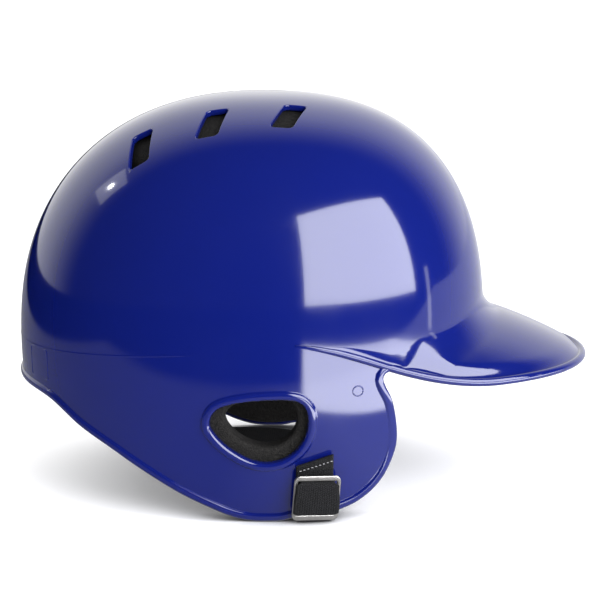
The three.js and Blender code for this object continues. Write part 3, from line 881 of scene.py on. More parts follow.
@dataclass
class Brim:
    """Brim over the forehead and the ridge that runs back from it.

    Sizes go by plan angle from straight ahead.
    """

    overhang: float = 55.7
    overhang_end: float = 60.0
    edge_level: float = 68.6
    edge_rise: float = 24.5
    rise_start: float = 30.0
    rise_end: float = 80.0
    root_rise: float = 23.0
    root_end: float = 52.0
    ridge: float = 1.6
    plate: float = 3.0
    rim_radius: float = 2.2
    droop: float = 1.35
    fillet: float = 10.5
    columns: int = 240

    def build(self) -> tuple[bmesh.types.BMesh, Array]:
        """The brim's mesh."""
        degrees = np.linspace(-self.rise_end, self.rise_end, self.columns + 1)
        section = self._section(np.abs(degrees))
        angle = np.radians(degrees)

        def place(s: Array, t: Array) -> Array:
            """The place of a share across the brim and round its section."""
            i = np.rint(s * self.columns).astype(int)
            j = np.rint(t * section.shape[1]).astype(int) % section.shape[1]
            out, level = section[i, j, 0], section[i, j, 1]
            wall = SKIN.radius_at(angle[i], level)
            widest = SKIN.plan_radius(angle[i])
            base = wall + (widest - wall) * smooth_step(0.0, 12.0, out)
            radius = base + out
            return np.stack(
                [SKIN.axis_x + radius * np.cos(angle[i]), radius * np.sin(angle[i]), level], axis=-1
            )

        return sheet_mesh(self.columns, section.shape[1], place)

    def _section(self, turn: Array) -> Array:
        """Section outlines (beyond the dome, level), one for each plan angle in degrees."""
        swing = np.cos(np.radians(np.minimum(90.0 * turn / self.overhang_end, 90.0)))
        ridge = self.ridge * smooth_step(-self.rise_end, 18.0 - self.rise_end, -turn) + 0.05
        reach = np.maximum(self.overhang * swing**2, ridge)[:, None]
        edge = (self.edge_level + self.edge_rise * smooth_step(self.rise_start, self.rise_end, turn))[:, None]
        root_swing = np.cos(np.radians(np.minimum(90.0 * turn / self.root_end, 90.0)))
        root = (self.root_rise * np.maximum(root_swing, 0.0) ** 0.6)[:, None]
        start, lead = -0.5 * WALL, 1.73 * self.rim_radius
        fillet = (0.5 + self.fillet * smooth_step(-77.0, -43.0, -turn))[:, None]
        hollow = np.minimum(0.9 * fillet, np.maximum(0.8 * (reach - lead), 0.7))
        last = np.maximum(reach - lead, hollow)
        bead_out, bead_level = reach - self.rim_radius, edge - 0.8
        first = np.arccos(np.clip((last - bead_out) / self.rim_radius, -0.7314, 0.9))

        def plate_top(out: Array) -> Array:
            """Level of the top of the plate at a reach."""
            share = np.clip((out - start) / (reach - start), 0.0, 1.0)
            return edge + root * (1.0 - share**self.droop)

        step = bead_level + self.rim_radius * np.sin(first) - plate_top(last)

        def face(out: Array) -> Array:
            """Level of the top face, with the step up into the rim."""
            return plate_top(out) + step * smooth_step(0.0, 1.0, (out - last + 6.0) / 6.0)

        curve = np.linspace(0.0, math.pi / 2, 15)[None]
        hollow_out = hollow * (1 - np.cos(curve))
        hollow_level = face(hollow_out) + fillet * (1 - np.sin(curve))
        spread = np.array(
            [0.06, 0.12, 0.2, 0.29, 0.38, 0.47, 0.56, 0.65, 0.74, 0.82, 0.89, 0.94, 0.975, 0.995]
        )[None]
        top_out = hollow_out[:, -1:] + (last - hollow_out[:, -1:]) * spread
        turns = first + (math.radians(-137) - first) * np.linspace(0, 1, 25)[None]
        rim_out = bead_out + self.rim_radius * np.cos(turns)
        rim_level = bead_level + self.rim_radius * np.sin(turns)
        under_share = np.array([0.01, 0.04, 0.12, 0.25, 0.4, 0.55, 0.7, 0.85, 1.0])[None]
        under_out = (reach - lead) + (start - reach + lead) * under_share
        rows = len(turn)
        tuck = np.full((rows, 1), -WALL + 0.15)
        outs = [np.full((rows, 1), start), hollow_out, top_out, rim_out, under_out, tuck, tuck]
        levels = [
            face(np.full((rows, 1), start)) + fillet,
            hollow_level,
            face(top_out),
            rim_level,
            plate_top(under_out) - self.plate,
            plate_top(tuck) - self.plate + 0.3,
            face(tuck) + fillet,
        ]
        return np.stack([np.hstack(outs), np.hstack(levels)], axis=-1)


@dataclass
class Shell:
    """The moulded shell: wall, brim, rolled beads, vents, ear openings and moulded marks."""

    bead: Bead = field(default_factory=Bead)
    brim: Brim = field(default_factory=Brim)
    vents: tuple = ((-84.3, 48.2), (-47.5, 46.2), (-8.3, 42.0))
    vent_width: float = 11.5
    vent_length: float = 25.0
    vent_slant: float = 3.5
    vent_corner: float = 2.4
    vent_lip: float = 0.75
    edge_cut: float = 2.2
    around: int = 208
    rows: int = 104
    edge_line: tuple = (
        (-132, 55.6), (-115, 44.6), (-99, 35.6), (-84, 26.4), (-63.4, 14.4), (-45, 5.7), (-38, 2.9),
        (-31, 0.95), (-25, 0.15), (-20, 0.02), (-14, 0.1), (-10, 0.6), (-6, 1.6), (4, 2.4), (16, 4.4),
        (28, 9.5), (38.3, 18.8), (45.2, 32.4),
        (46.8, 44), (44.6, 60), (40.6, 69.6), (39.4, 73.6), (40.8, 76.2), (44.8, 76.9), (52, 77.4),
        (62.5, 80.5),
    )  # fmt: skip
    ear_line: tuple = (
        (-48, 52.8), (-45, 59.6), (-37, 63.2), (-24, 65.2), (-8, 65.4), (-1, 62.6), (1.6, 56),
        (0.6, 46.6), (-5, 37.6), (-14.5, 32.4), (-26, 32.8), (-38, 39.4), (-45.6, 47),
    )  # fmt: skip

    def build(self, finish: bpy.types.Material) -> bpy.types.Object:
        """Builds the whole shell as one piece.

        Args:
            finish: The shell's plastic.

        Returns:
            The piece, with the smooth skin's own directions stored on it.
        """
        parts = [self._wall(), self.brim.build(), self._edge_bead()]
        for side in Side:
            parts.append(self._ear_bead(side))
            parts.append(self._cheek_mark(side))
            parts.extend(self._vent_sleeve(vent, side) for vent in self.vents)
        parts.append(self._belt())
        parts.append(self._badge_frame())
        directions = np.vstack([self._directions(part) for part in parts])
        piece = as_object("shell_dressed", joined(parts), None)
        piece.data.normals_split_custom_set_from_vertices(directions.tolist())
        return place_piece(piece, finish, Slot.SHELL, Body.HELMET, "shell")

    def _directions(self, part: bmesh.types.BMesh) -> Array:
        """The direction each vertex of a part is shaded with: the skin's own where it lies on the skin."""
        part.normal_update()
        points = np.array([vert.co for vert in part.verts])
        found = np.array([vert.normal for vert in part.verts])
        for grow, sign in ((0.0, 1.0), (-WALL, -1.0)):
            skin = SKIN.normal(points, grow) * sign
            near = np.abs(SKIN.share(points, grow) - 1.0) < 4e-4
            facing = np.einsum("ij,ij->i", skin, found) > 0.6
            found = np.where((near & facing)[:, None], skin, found)
        return found

    def _body(self, grow: float, bottom: float) -> bmesh.types.BMesh:
        """The closed body inside the skin, down to a level under the flaps."""
        bm = bmesh.new()
        bm.loops.layers.uv.new("thread")
        bmesh.ops.create_uvsphere(bm, u_segments=self.around, v_segments=self.rows, radius=1.0)
        ball = np.array([vert.co for vert in bm.verts])
        turn = np.arctan2(ball[:, 1], ball[:, 0])
        angle = np.arctan2(np.sin(turn) * SKIN.half_width, np.cos(turn) * SKIN.front_reach)
        climb = np.arcsin(np.clip(ball[:, 2], -1.0, 1.0))
        power = SKIN.power(angle, grow)
        edge = SKIN.plan_radius(angle, grow)
        up = np.maximum(climb, 0.0)
        down = np.maximum(-climb, 0.0) / (math.pi / 2)
        level = np.where(
            climb >= 0,
            SKIN.widest_level + (SKIN.rise + grow) * np.sin(up) ** (2 / power),
            SKIN.widest_level - down * (SKIN.widest_level - bottom),
        )
        radius = edge * np.where(climb >= 0, np.cos(up) ** (2 / power), SKIN.lean_scale(level))
        radius[np.abs(ball[:, 2]) > 1 - 1e-7] = 0.0
        points = np.stack([SKIN.axis_x + radius * np.cos(angle), radius * np.sin(angle), level], axis=-1)
        for vert, point in zip(bm.verts, points):
            vert.co = point
        return bm

    def _wall(self) -> bmesh.types.BMesh:
        """The wall between the outer and inner skins, cut to the outline and opened for ears and vents."""
        inner = self._body(-WALL, -3.0)
        bmesh.ops.reverse_faces(inner, faces=inner.faces)
        blank = joined([self._body(0.0, -6.0), inner])
        line = self.edge_side_line(self.edge_cut)
        below = [(150.0, line[-1, 1]), (150.0, -30.0), (-170.0, -30.0), (-170.0, line[0, 1])]
        cutters = [prism(np.vstack([line, below]), self._from_side, -130.0, 130.0)]
        for side in Side:
            near, far = (-120.0, -60.0) if side is Side.RIGHT else (60.0, 120.0)
            cutters.append(prism(self.ear_outline(self.edge_cut), self._from_side, near, far))
            cutters.extend(self._vent_cutter(vent, side) for vent in self.vents)
        return cut_away(blank, cutters)

    @staticmethod
    def _from_side(rows: Array) -> Array:
        """Turns (x, level, sideways) rows into points."""
        return rows[:, [0, 2, 1]]

    def edge_side_line(self, inset: float) -> Array:
        """The free edge seen from the side, from the nape to the forehead, drawn in by an inset."""
        line = spline([(-170, 58), (-150, 58.2), *self.edge_line, (78, 84.4), (97, 87.6), (112, 88)], 260)
        along = unit(np.gradient(line, axis=0))
        moved = line + inset * np.stack([-along[:, 1], along[:, 0]], axis=-1)
        return moved[moved[:, 0] < 110]

    def ear_outline(self, grow: float) -> Array:
        """The ear opening's outline seen from the side, grown outwards."""
        line = spline(list(self.ear_line), 120, closed=True)
        away = unit(line - np.array([-20.5, 51.0]))
        return line + away * grow

    def _edge_path(self) -> Array:
        """The free edge all the way round: right flap, nape, left flap and forehead."""
        line = spline([(-170, 58), (-150, 58.2), *self.edge_line, (78, 84.4), (97, 87.6), (112, 88)], 400)
        flank = line[(line[:, 0] > -128) & (line[:, 0] < 48)]
        right = np.stack([flank[:, 0], -SKIN.side_y(flank[:, 0], flank[:, 1]), flank[:, 1]], axis=-1)

        def bend(start: Array, end: float, count: int) -> Array:
            """A stretch of the edge from a point on to a plan angle."""
            first = math.atan2(start[1], start[0] - SKIN.axis_x)
            angle = np.linspace(first, end, count + 1)[1:]
            level = np.full(count, start[2])
            for _ in range(6):
                level = np.interp(SKIN.at_angle(angle, level)[:, 0], line[:, 0], line[:, 1])
            return SKIN.at_angle(angle, level)

        nape = bend(right[0], -math.pi, 60)[::-1]
        brow = bend(right[-1], 0.0, 60)
        half = np.vstack([nape, right, brow])
        other = half[::-1][1:-1] * np.array([1.0, -1.0, 1.0])
        loop = np.vstack([half, other, half[:1]])
        return even_points(loop, 620, True)

    def _edge_bead(self) -> bmesh.types.BMesh:
        """The rolled bead along the free edge; it sinks into the wall under the brim."""
        path = self._edge_path()
        share = 1.0 - smooth_step(40.0, 50.0, path[:, 0])
        return sweep(path, SKIN.normal(path), self.bead.section(share), True, 1.0)

    def _ear_bead(self, side: Side) -> bmesh.types.BMesh:
        """The bead round one ear opening."""
        outline = self.ear_outline(0.0)
        outline = even_points(np.vstack([outline, outline[:1]]), 150, True)
        y = side.value * SKIN.side_y(outline[:, 0], outline[:, 1])
        path = np.stack([outline[:, 0], y, outline[:, 1]], axis=-1)
        return self._ringed(path, SKIN.normal(path), self.bead.section(np.ones(len(path))))

    @staticmethod
    def _ringed(path: Array, outward: Array, section: Array) -> bmesh.types.BMesh:
        """A sweep round an opening with the section's first direction pointing away from it."""
        tangent = unit(np.roll(path, -1, axis=0) - np.roll(path, 1, axis=0))
        aside = np.cross(outward, tangent)
        away = np.einsum("ij,ij->i", aside, path - path.mean(0)).mean()
        return sweep(path, outward, section, True, 1.0 if away > 0 else -1.0)

    def _vent_place(self, vent: tuple[float, float], side: Side) -> Callable[[Array], Array]:
        """Turns (forward, sideways, outward) rows at a vent into points."""
        x, y = vent[0], side.value * vent[1]
        origin = np.array([x, y, float(SKIN.level_at(np.array(x), np.array(y)))])
        outward = SKIN.normal(origin)
        forward = unit(np.array([outward[2], 0.0, -outward[0]]))
        aside = np.cross(outward, forward)
        axes = np.stack([forward, aside, outward])
        return lambda rows: origin + rows @ axes

    def _vent_outline(self, side: Side, grow: float) -> Array:
        """A vent's slanted outline, grown outwards."""
        ring = rounded_ring(
            self.vent_width / 2 + grow, self.vent_length / 2 + grow, self.vent_corner + grow, 8
        )
        slant = -2 * side.value * self.vent_slant / self.vent_length
        return ring + np.stack([slant * ring[:, 1], np.zeros(len(ring))], axis=-1)

    def _vent_cutter(self, vent: tuple[float, float], side: Side) -> bmesh.types.BMesh:
        """The body that opens one vent, a lip's width larger than the finished opening."""
        return prism(self._vent_outline(side, self.vent_lip), self._vent_place(vent, side), -9.0, 9.0)

    def _vent_sleeve(self, vent: tuple[float, float], side: Side) -> bmesh.types.BMesh:
        """The lip of one vent: rounded over from the outer skin down to the inner one."""
        ring = self._vent_outline(side, 0.0)
        ring = even_points(np.vstack([ring, ring[:1]]), 132, True)
        place = self._vent_place(vent, side)
        flat = place(np.hstack([ring, np.zeros((len(ring), 1))]))
        outward = place(np.array([[0, 0, 1.0]])) - place(np.array([[0, 0, 0.0]]))
        path = SKIN.settle(flat, np.broadcast_to(outward, flat.shape))
        lip, turn = self.vent_lip, np.linspace(math.pi / 2, math.pi, 7)
        over = np.stack([lip + lip * np.cos(turn), lip * np.sin(turn) - lip], axis=-1)
        under = np.stack([lip + lip * np.cos(-turn), lip - WALL + lip * np.sin(-turn)], axis=-1)[::-1]
        tuck = [(lip + 0.8, 0.5 - WALL), (lip + 0.8, -0.5)]
        return self._ringed(path, SKIN.normal(path), np.vstack([over, under, tuck])[None])

    def _low_relief(self, path: Array, width: float, proud: Array | float, closed: bool) -> bmesh.types.BMesh:
        """A low rounded rib on the skin, seated in the wall; its height may change along the path."""
        turn = np.linspace(0, math.pi, 9)
        height = np.broadcast_to(np.asarray(proud, float), (len(path),))[:, None]
        top = np.stack([np.broadcast_to(0.5 * width * np.cos(turn), (len(path), 9)),
                        (height + 0.3) * np.sin(turn) - 0.3], axis=-1)
        seat = np.broadcast_to([(-0.5 * width, -0.9), (0.5 * width, -0.9)], (len(path), 2, 2))
        return sweep(path, SKIN.normal(path), np.concatenate([top, seat], axis=1), closed)

    def _cheek_mark(self, side: Side) -> bmesh.types.BMesh:
        """The small round mark moulded on one cheek."""
        turn = np.linspace(0, 2 * math.pi, 48, endpoint=False)
        x, level = 26.6 + 2.6 * np.cos(turn), 68.4 + 2.6 * np.sin(turn)
        path = np.stack([x, side.value * SKIN.side_y(x, level), level], axis=-1)
        return self._low_relief(path, 0.8, 0.3, True)

    def _belt(self) -> bmesh.types.BMesh:
        """The faint parting step that runs round the back at the belt."""
        angle = np.radians(np.linspace(-86, -274, 180))
        x = SKIN.at_angle(angle, np.full(180, 86.0))[:, 0]
        level = np.interp(x, [-153, -130, -90, -50, -14], [80.6, 82.0, 85.2, 88.4, 91.6])
        proud = 0.17 * smooth_step(-20.0, 40.0, np.abs(np.degrees(angle) + 180) * -1 + 80) - 0.02
        return self._low_relief(SKIN.at_angle(angle, level), 1.6, proud, False)

    def _badge_frame(self) -> bmesh.types.BMesh:
        """A plain rounded frame moulded on the right of the nape."""
        ring = rounded_ring(9.0, 8.0, 1.6, 6)
        arc = ring[:, 0] / 128.0 + math.atan2(-49.0, -135.0 - SKIN.axis_x)
        return self._low_relief(SKIN.at_angle(arc, 72.5 + ring[:, 1]), 0.8, 0.22, True)


# ------------------------------------------------------------------------------------------ liner


@dataclass
class Liner:
    """Foam pads fixed inside the shell: crown, front, rear, two temples and two ears."""

    gap: float = 0.6
    thickness: float = 12.0
    ear_thickness: float = 14.0
    rounding: float = 0.32

    def build(self, finish: bpy.types.Material) -> list[bpy.types.Object]:
        """Builds every pad as its own piece.

        Args:
            finish: The foam.

        Returns:
            The seven pads.
        """
        made = [
            self._pad("crown", self._crown),
            self._pad("front", self._front),
            self._pad("rear", self._rear),
        ]
        for side in Side:
            made.append(self._pad(f"{side.label}_temple", lambda u, v, w, s=side: self._temple(u, v, w, s)))
            made.append((f"{side.label}_ear", as_object(f"{side.label}_ear_cushion", self._ear(side))))
        pads = []
        for name, piece in made:
            place_piece(piece, finish, Slot.LINER, Body.HELMET, f"{name}_pad")
            pads.append(piece)
        return pads

    def _depth(self, w: Array, thickness: float) -> Array:
        """How far a layer lies inside the skin: w = 1 on its outer face, -1 on its inner one."""
        return -WALL - self.gap - thickness * (1 - w) / 2

    def _pad(self, name: str, place: Callable) -> tuple[str, bpy.types.Object]:
        """A pillow of foam: a ball squared off towards the pad's sides and bent into its place."""
        bm = bmesh.new()
        bm.loops.layers.uv.new("thread")
        bmesh.ops.create_cube(bm, size=2.0)
        bmesh.ops.subdivide_edges(bm, edges=bm.edges, cuts=23, use_grid_fill=True)
        cube = np.array([vert.co for vert in bm.verts])
        power = 2 / self.rounding
        ball = cube / np.maximum((np.abs(cube) ** power).sum(1, keepdims=True) ** (1 / power), 1e-9)
        for vert, point in zip(bm.verts, place(*ball.T)):
            vert.co = point
        return name, as_object(f"{name}_cushion", close_up(bm), None)

    def _crown(self, u: Array, v: Array, w: Array) -> Array:
        """Place on the crown pad."""
        corner = 1 - 0.16 * (u * v) ** 2
        x, y = -27.0 + 71.5 * u * corner, 62.5 * v * corner
        level = SKIN.level_at(x, y, self._depth(w, self.thickness))
        return np.stack([x, y, level], axis=-1)

    def _arched(self, angle: Array, v: Array, w: Array, limit: float, low: float) -> Array:
        """Place on a pad that stands on a level and ends where the dome has leaned in to x = limit."""
        middle = self._depth(np.zeros_like(w), self.thickness)
        reach = np.abs(limit - SKIN.axis_x) / np.abs(np.cos(angle))
        power = SKIN.power(angle, middle)
        share = np.clip(reach / SKIN.plan_radius(angle, middle), 0, 0.999)
        high = SKIN.widest_level + (SKIN.rise + middle) * (1 - share**power) ** (1 / power)
        level = low + (high - low) * (v + 1) / 2
        return SKIN.at_angle(angle, level, self._depth(w, self.thickness))

    def _front(self, u: Array, v: Array, w: Array) -> Array:
        """Place on the forehead pad."""
        return self._arched(np.radians(37.5) * u, v, w, 55.5, 96.5)

    def _rear(self, u: Array, v: Array, w: Array) -> Array:
        """Place on the nape pad."""
        return self._arched(math.pi + np.radians(39.5) * u, v, w, -109.0, 71.5)

    def _temple(self, u: Array, v: Array, w: Array, side: Side) -> Array:
        """Place on a temple pad."""
        grow = self._depth(w, self.thickness)
        x = -20.3 + 59.0 * u
        high = SKIN.level_at(x, np.full_like(x, 74.5), self._depth(np.zeros_like(w), self.thickness))
        level = 102.5 + (high - 102.5) * (v + 1) / 2
        return np.stack([x, side.value * SKIN.side_y(x, level, grow), level], axis=-1)

    def _ear(self, side: Side) -> bmesh.types.BMesh:
        """An ear pad: a ring of foam between the ear hole and the flap's edge."""
        hole = spline(
            [
                (-40, 54), (-36, 61), (-22, 64.4), (-8, 63.6), (-4, 56),
                (-6, 47), (-14, 40.4), (-25, 40.4), (-35, 46),
            ],
            160,
            closed=True,
        )
        centre = np.array([-22.0, 53.0])
        turn = np.arctan2(*(hole - centre).T[::-1])
        outer = self._ear_limit(turn, centre)
        corners = 44
        loop = np.linspace(0, 2 * math.pi, corners, endpoint=False)
        power = self.rounding
        across = (1 + np.sign(np.cos(loop)) * np.abs(np.cos(loop)) ** power) / 2
        depth = np.sign(np.sin(loop)) * np.abs(np.sin(loop)) ** power
        rivet_level = Rivet.right_level if side is Side.RIGHT else Rivet.left_level

        def place(s: Array, t: Array) -> Array:
            """The place of a share round the ear hole and round the section."""
            i = np.rint(s * len(hole)).astype(int) % len(hole)
            j = np.rint(t * corners).astype(int) % corners
            flat = hole[i] + (outer[i] - hole[i]) * across[j][:, None]
            near = np.exp(-((np.hypot(flat[:, 0] - Webbing.x, flat[:, 1] - rivet_level) / 7.0) ** 4))
            grow = self._depth(depth[j], self.ear_thickness) - 2.6 * near * (depth[j] + 1) / 2
            y = side.value * SKIN.side_y(flat[:, 0], flat[:, 1], grow)
            return np.stack([flat[:, 0], y, flat[:, 1]], axis=-1)

        return sheet_mesh(len(hole), corners, place)

    def _ear_limit(self, turn: Array, centre: Array) -> Array:
        """The pad's outer outline in directions from the hole's centre: the flap's edge inset, and a box."""
        edge = Shell().edge_side_line(4.2)
        away = np.stack([np.cos(turn), np.sin(turn)], axis=-1)
        reach = np.linspace(14.0, 80.0, 400)
        points = centre + away[:, None] * reach[None, :, None]
        floor = np.interp(points[..., 0], edge[:, 0], edge[:, 1])
        cheek = edge[(edge[:, 1] < 60) & (edge[:, 0] > 0)]
        front = np.interp(points[..., 1], cheek[:, 1], cheek[:, 0])
        half = np.array([63.5, 47.0])
        square = np.abs((points - np.array([-28.0, 48.0])) / half)
        inside = (square**6).sum(-1) < 1.0
        inside &= (points[..., 1] > floor) & (points[..., 0] < np.minimum(front, 36.0))
        last = np.argmax(~inside, axis=1)
        limit = reach[last]
        for _ in range(8):
            limit = (np.roll(limit, 1) + 2 * limit + np.roll(limit, -1)) / 4
        return centre + away * (limit - 0.8)[:, None]


# ------------------------------------------------------------------------------------------ webbing


@dataclass
class Webbing:
    """Flat strap webbing that follows the flaps and passes under the chin."""

    x: float = 4.9
    width: float = 19.0
    thickness: float = 1.5
    end_inset: float = 17.5
    end_slant: float = 0.3
    chin_reach: float = 70.0
    chin_tilt: float = 62.0
    wrap: tuple = ((2.75, 3.6), (1.6, 1.15), (-2.0, 0.85), (-9.0, 0.85), (-17.5, 0.85))
    corners: int = 44

    def build(self, groups: Groups) -> list[bpy.types.Object]:
        """Builds the webbing pieces and their stitches.

        Args:
            groups: The shared effects.

        Returns:
            Right strap, left strap, left tab, chin strap and the stitches of both hems.
            The fold through the slide belongs to the slide.
        """
        base = [(2.5, 33.6), (1.7, 27), (1.2, 21), (1.3, 12), (2.5, 7.2), *self.wrap]
        hem = [(2.7, 33.7), (2.6, 30.8), (2.1, 28.4)]
        right = joined(
            [
                self._on_flap(Side.RIGHT, base, 150, self.thickness),
                self._on_flap(Side.RIGHT, hem, 20, 2.3, 0.25),
            ]
        )
        left = self._on_flap(Side.LEFT, [(2.9, 6.6), *self.wrap], 90, self.thickness)
        tab = self._on_flap(Side.LEFT, [(2.92, 6.7), (4, 12), (4.3, 20), (4.3, 30)], 70, self.thickness)
        pieces = []
        for name, mesh, count, body, node in (
            ("right_strap_webbing", right, 62, None, "right_strap"),
            ("left_strap_webbing", left, 32, None, "left_strap"),
            ("left_tab_webbing", tab, 28, None, "left_strap_tab"),
            ("chin_webbing", self._chin(), 170, Body.CHIN, "chin_strap"),
        ):
            finish = BlackWebbing(f"{name}_weave", (46.0, count)).build(groups)
            pieces.append(place_piece(as_object(name, mesh, 50.0), finish, Slot.WEBBING, body, node))
        self._join_across(pieces)
        thread = Thread().build(groups)
        for side, level, out, body in (
            (Side.RIGHT, 31.4, 3.85, Body.HELMET),
            (Side.LEFT, 28.2, 5.08, Body.TAB),
        ):
            stitches = as_object(f"{side.label}_hem_stitches", joined(self._stitches(side, level, out)), None)
            pieces.append(place_piece(stitches, thread, Slot.WEBBING, body))
        return pieces

    def _join_across(self, pieces: list[bpy.types.Object]) -> None:
        """Bakes the placing of the right strap, the left strap and the tab into their meshes."""
        right, left, tab = pieces[:3]
        for piece, side in ((right, Side.RIGHT), (left, Side.LEFT)):
            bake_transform(piece)
        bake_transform(tab)

    def section(self, width: float, thickness: float) -> Array:
        """Outline of the band's section: flat faces, round edges and a slightly thicker selvedge."""
        half = thickness / 2
        turn = np.linspace(-math.pi / 2, math.pi / 2, 6)
        edge = np.stack([width / 2 - half + half * np.cos(turn), half * np.sin(turn)], axis=-1)
        run = np.linspace(1, -1, (self.corners - 12) // 2 + 2)[1:-1] * (width / 2 - half)
        rise = half * (0.86 + 0.14 * (np.abs(run) / (width / 2)) ** 8)
        top = np.stack([run, rise], axis=-1)
        upper = np.vstack([edge, top])
        return np.vstack([upper, -upper])

    def band(self, count: int, section: Array, place: Place) -> bmesh.types.BMesh:
        """A strip of webbing.

        Args:
            count: Number of faces along it.
            section: Its section's outline.
            place: Turns (share along, rows of section points) into points.

        Returns:
            The closed strip.
        """

        def spot(s: Array, t: Array) -> Array:
            """The place of a share along the webbing and round its section."""
            j = np.rint(t * len(section)).astype(int) % len(section)
            return place(s, section[j])

        def swapped(s: Array, t: Array) -> Array:
            """The same places with the two shares swapped."""
            return spot(t, s)

        return sheet_mesh(len(section), count, swapped)

    def _on_flap(
        self, side: Side, points: list[tuple[float, float]], count: int, thickness: float, trim: float = 0.0
    ) -> bmesh.types.BMesh:
        """A strip on a flap, its middle line given as (out from the skin, level)."""
        line = spline(points, count + 1)
        tangent = unit(np.gradient(line, axis=0))
        section = self.section(self.width - trim, thickness)
        spread = np.linspace(0, 1, count + 1)

        def place(s: Array, rows: Array) -> Array:
            """Points of the section at a share along the webbing."""
            out, level = (np.interp(s, spread, line[:, k]) for k in (0, 1))
            ahead, rise = (np.interp(s, spread, tangent[:, k]) for k in (0, 1))
            straight = smooth_step(0.0, self.end_inset - 2.0, -out)
            x = self.x + rows[:, 0]
            near_end = smooth_step(27.0, 31.5, level) * (side is Side.RIGHT)
            level = level + self.end_slant * rows[:, 0] * near_end
            wall = SKIN.side_y(x, np.maximum(level, 1.0))
            wall += (SKIN.side_y(self.x, 1.0) - wall) * straight
            y = wall + out - rise * rows[:, 1]
            return np.stack([x, side.value * y, level + ahead * rows[:, 1]], axis=-1)

        return self.band(count, section, place)

    def _stitches(self, side: Side, level: float, out: float) -> list[bmesh.types.BMesh]:
        """A row of short thread stitches across the strap."""
        made = []
        for k in range(9):
            across = 1.9 * (k - 4)
            slant = self.end_slant * across * (side is Side.RIGHT)
            frame_here = FlapFrame(side, self.x + across, level + slant)
            bm = bmesh.new()
            bm.loops.layers.uv.new("thread")
            bmesh.ops.create_icosphere(bm, subdivisions=2, radius=1.0)
            ball = np.array([vert.co for vert in bm.verts]) * np.array([0.62, 0.24, 0.2])
            for vert, point in zip(bm.verts, frame_here.place(ball[:, 0], ball[:, 1], ball[:, 2] + out)):
                vert.co = point
            made.append(bm)
        return made

    def _chin(self) -> bmesh.types.BMesh:
        """The free strap, laid slack on the ground behind and leaning up on its rear edge."""
        half_span = float(SKIN.side_y(self.x, 1.0)) - self.end_inset - 0.02
        section = self.section(self.width, self.thickness)

        def place(s: Array, rows: Array) -> Array:
            """Points of the section at a share from flap to flap."""
            slack = np.sin(math.pi * s)
            lead = -self.chin_reach * math.pi * np.sin(2 * math.pi * s)
            outward = unit(np.stack([np.full_like(s, -2 * half_span), lead], axis=-1))
            tilt = math.radians(self.chin_tilt) * slack**1.5
            flat = rows[:, 0] * np.cos(tilt) - rows[:, 1] * np.sin(tilt)
            rise = (rows[:, 0] + self.width / 2) * np.sin(tilt) + rows[:, 1] * np.cos(tilt)
            return np.stack(
                [
                    self.x - self.chin_reach * slack**2 + outward[:, 0] * flat,
                    half_span * (2 * s - 1) + outward[:, 1] * flat,
                    0.86 + rise,
                ],
                axis=-1,
            )

        return self.band(240, section, place)


# ------------------------------------------------------------------------------------------ fittings


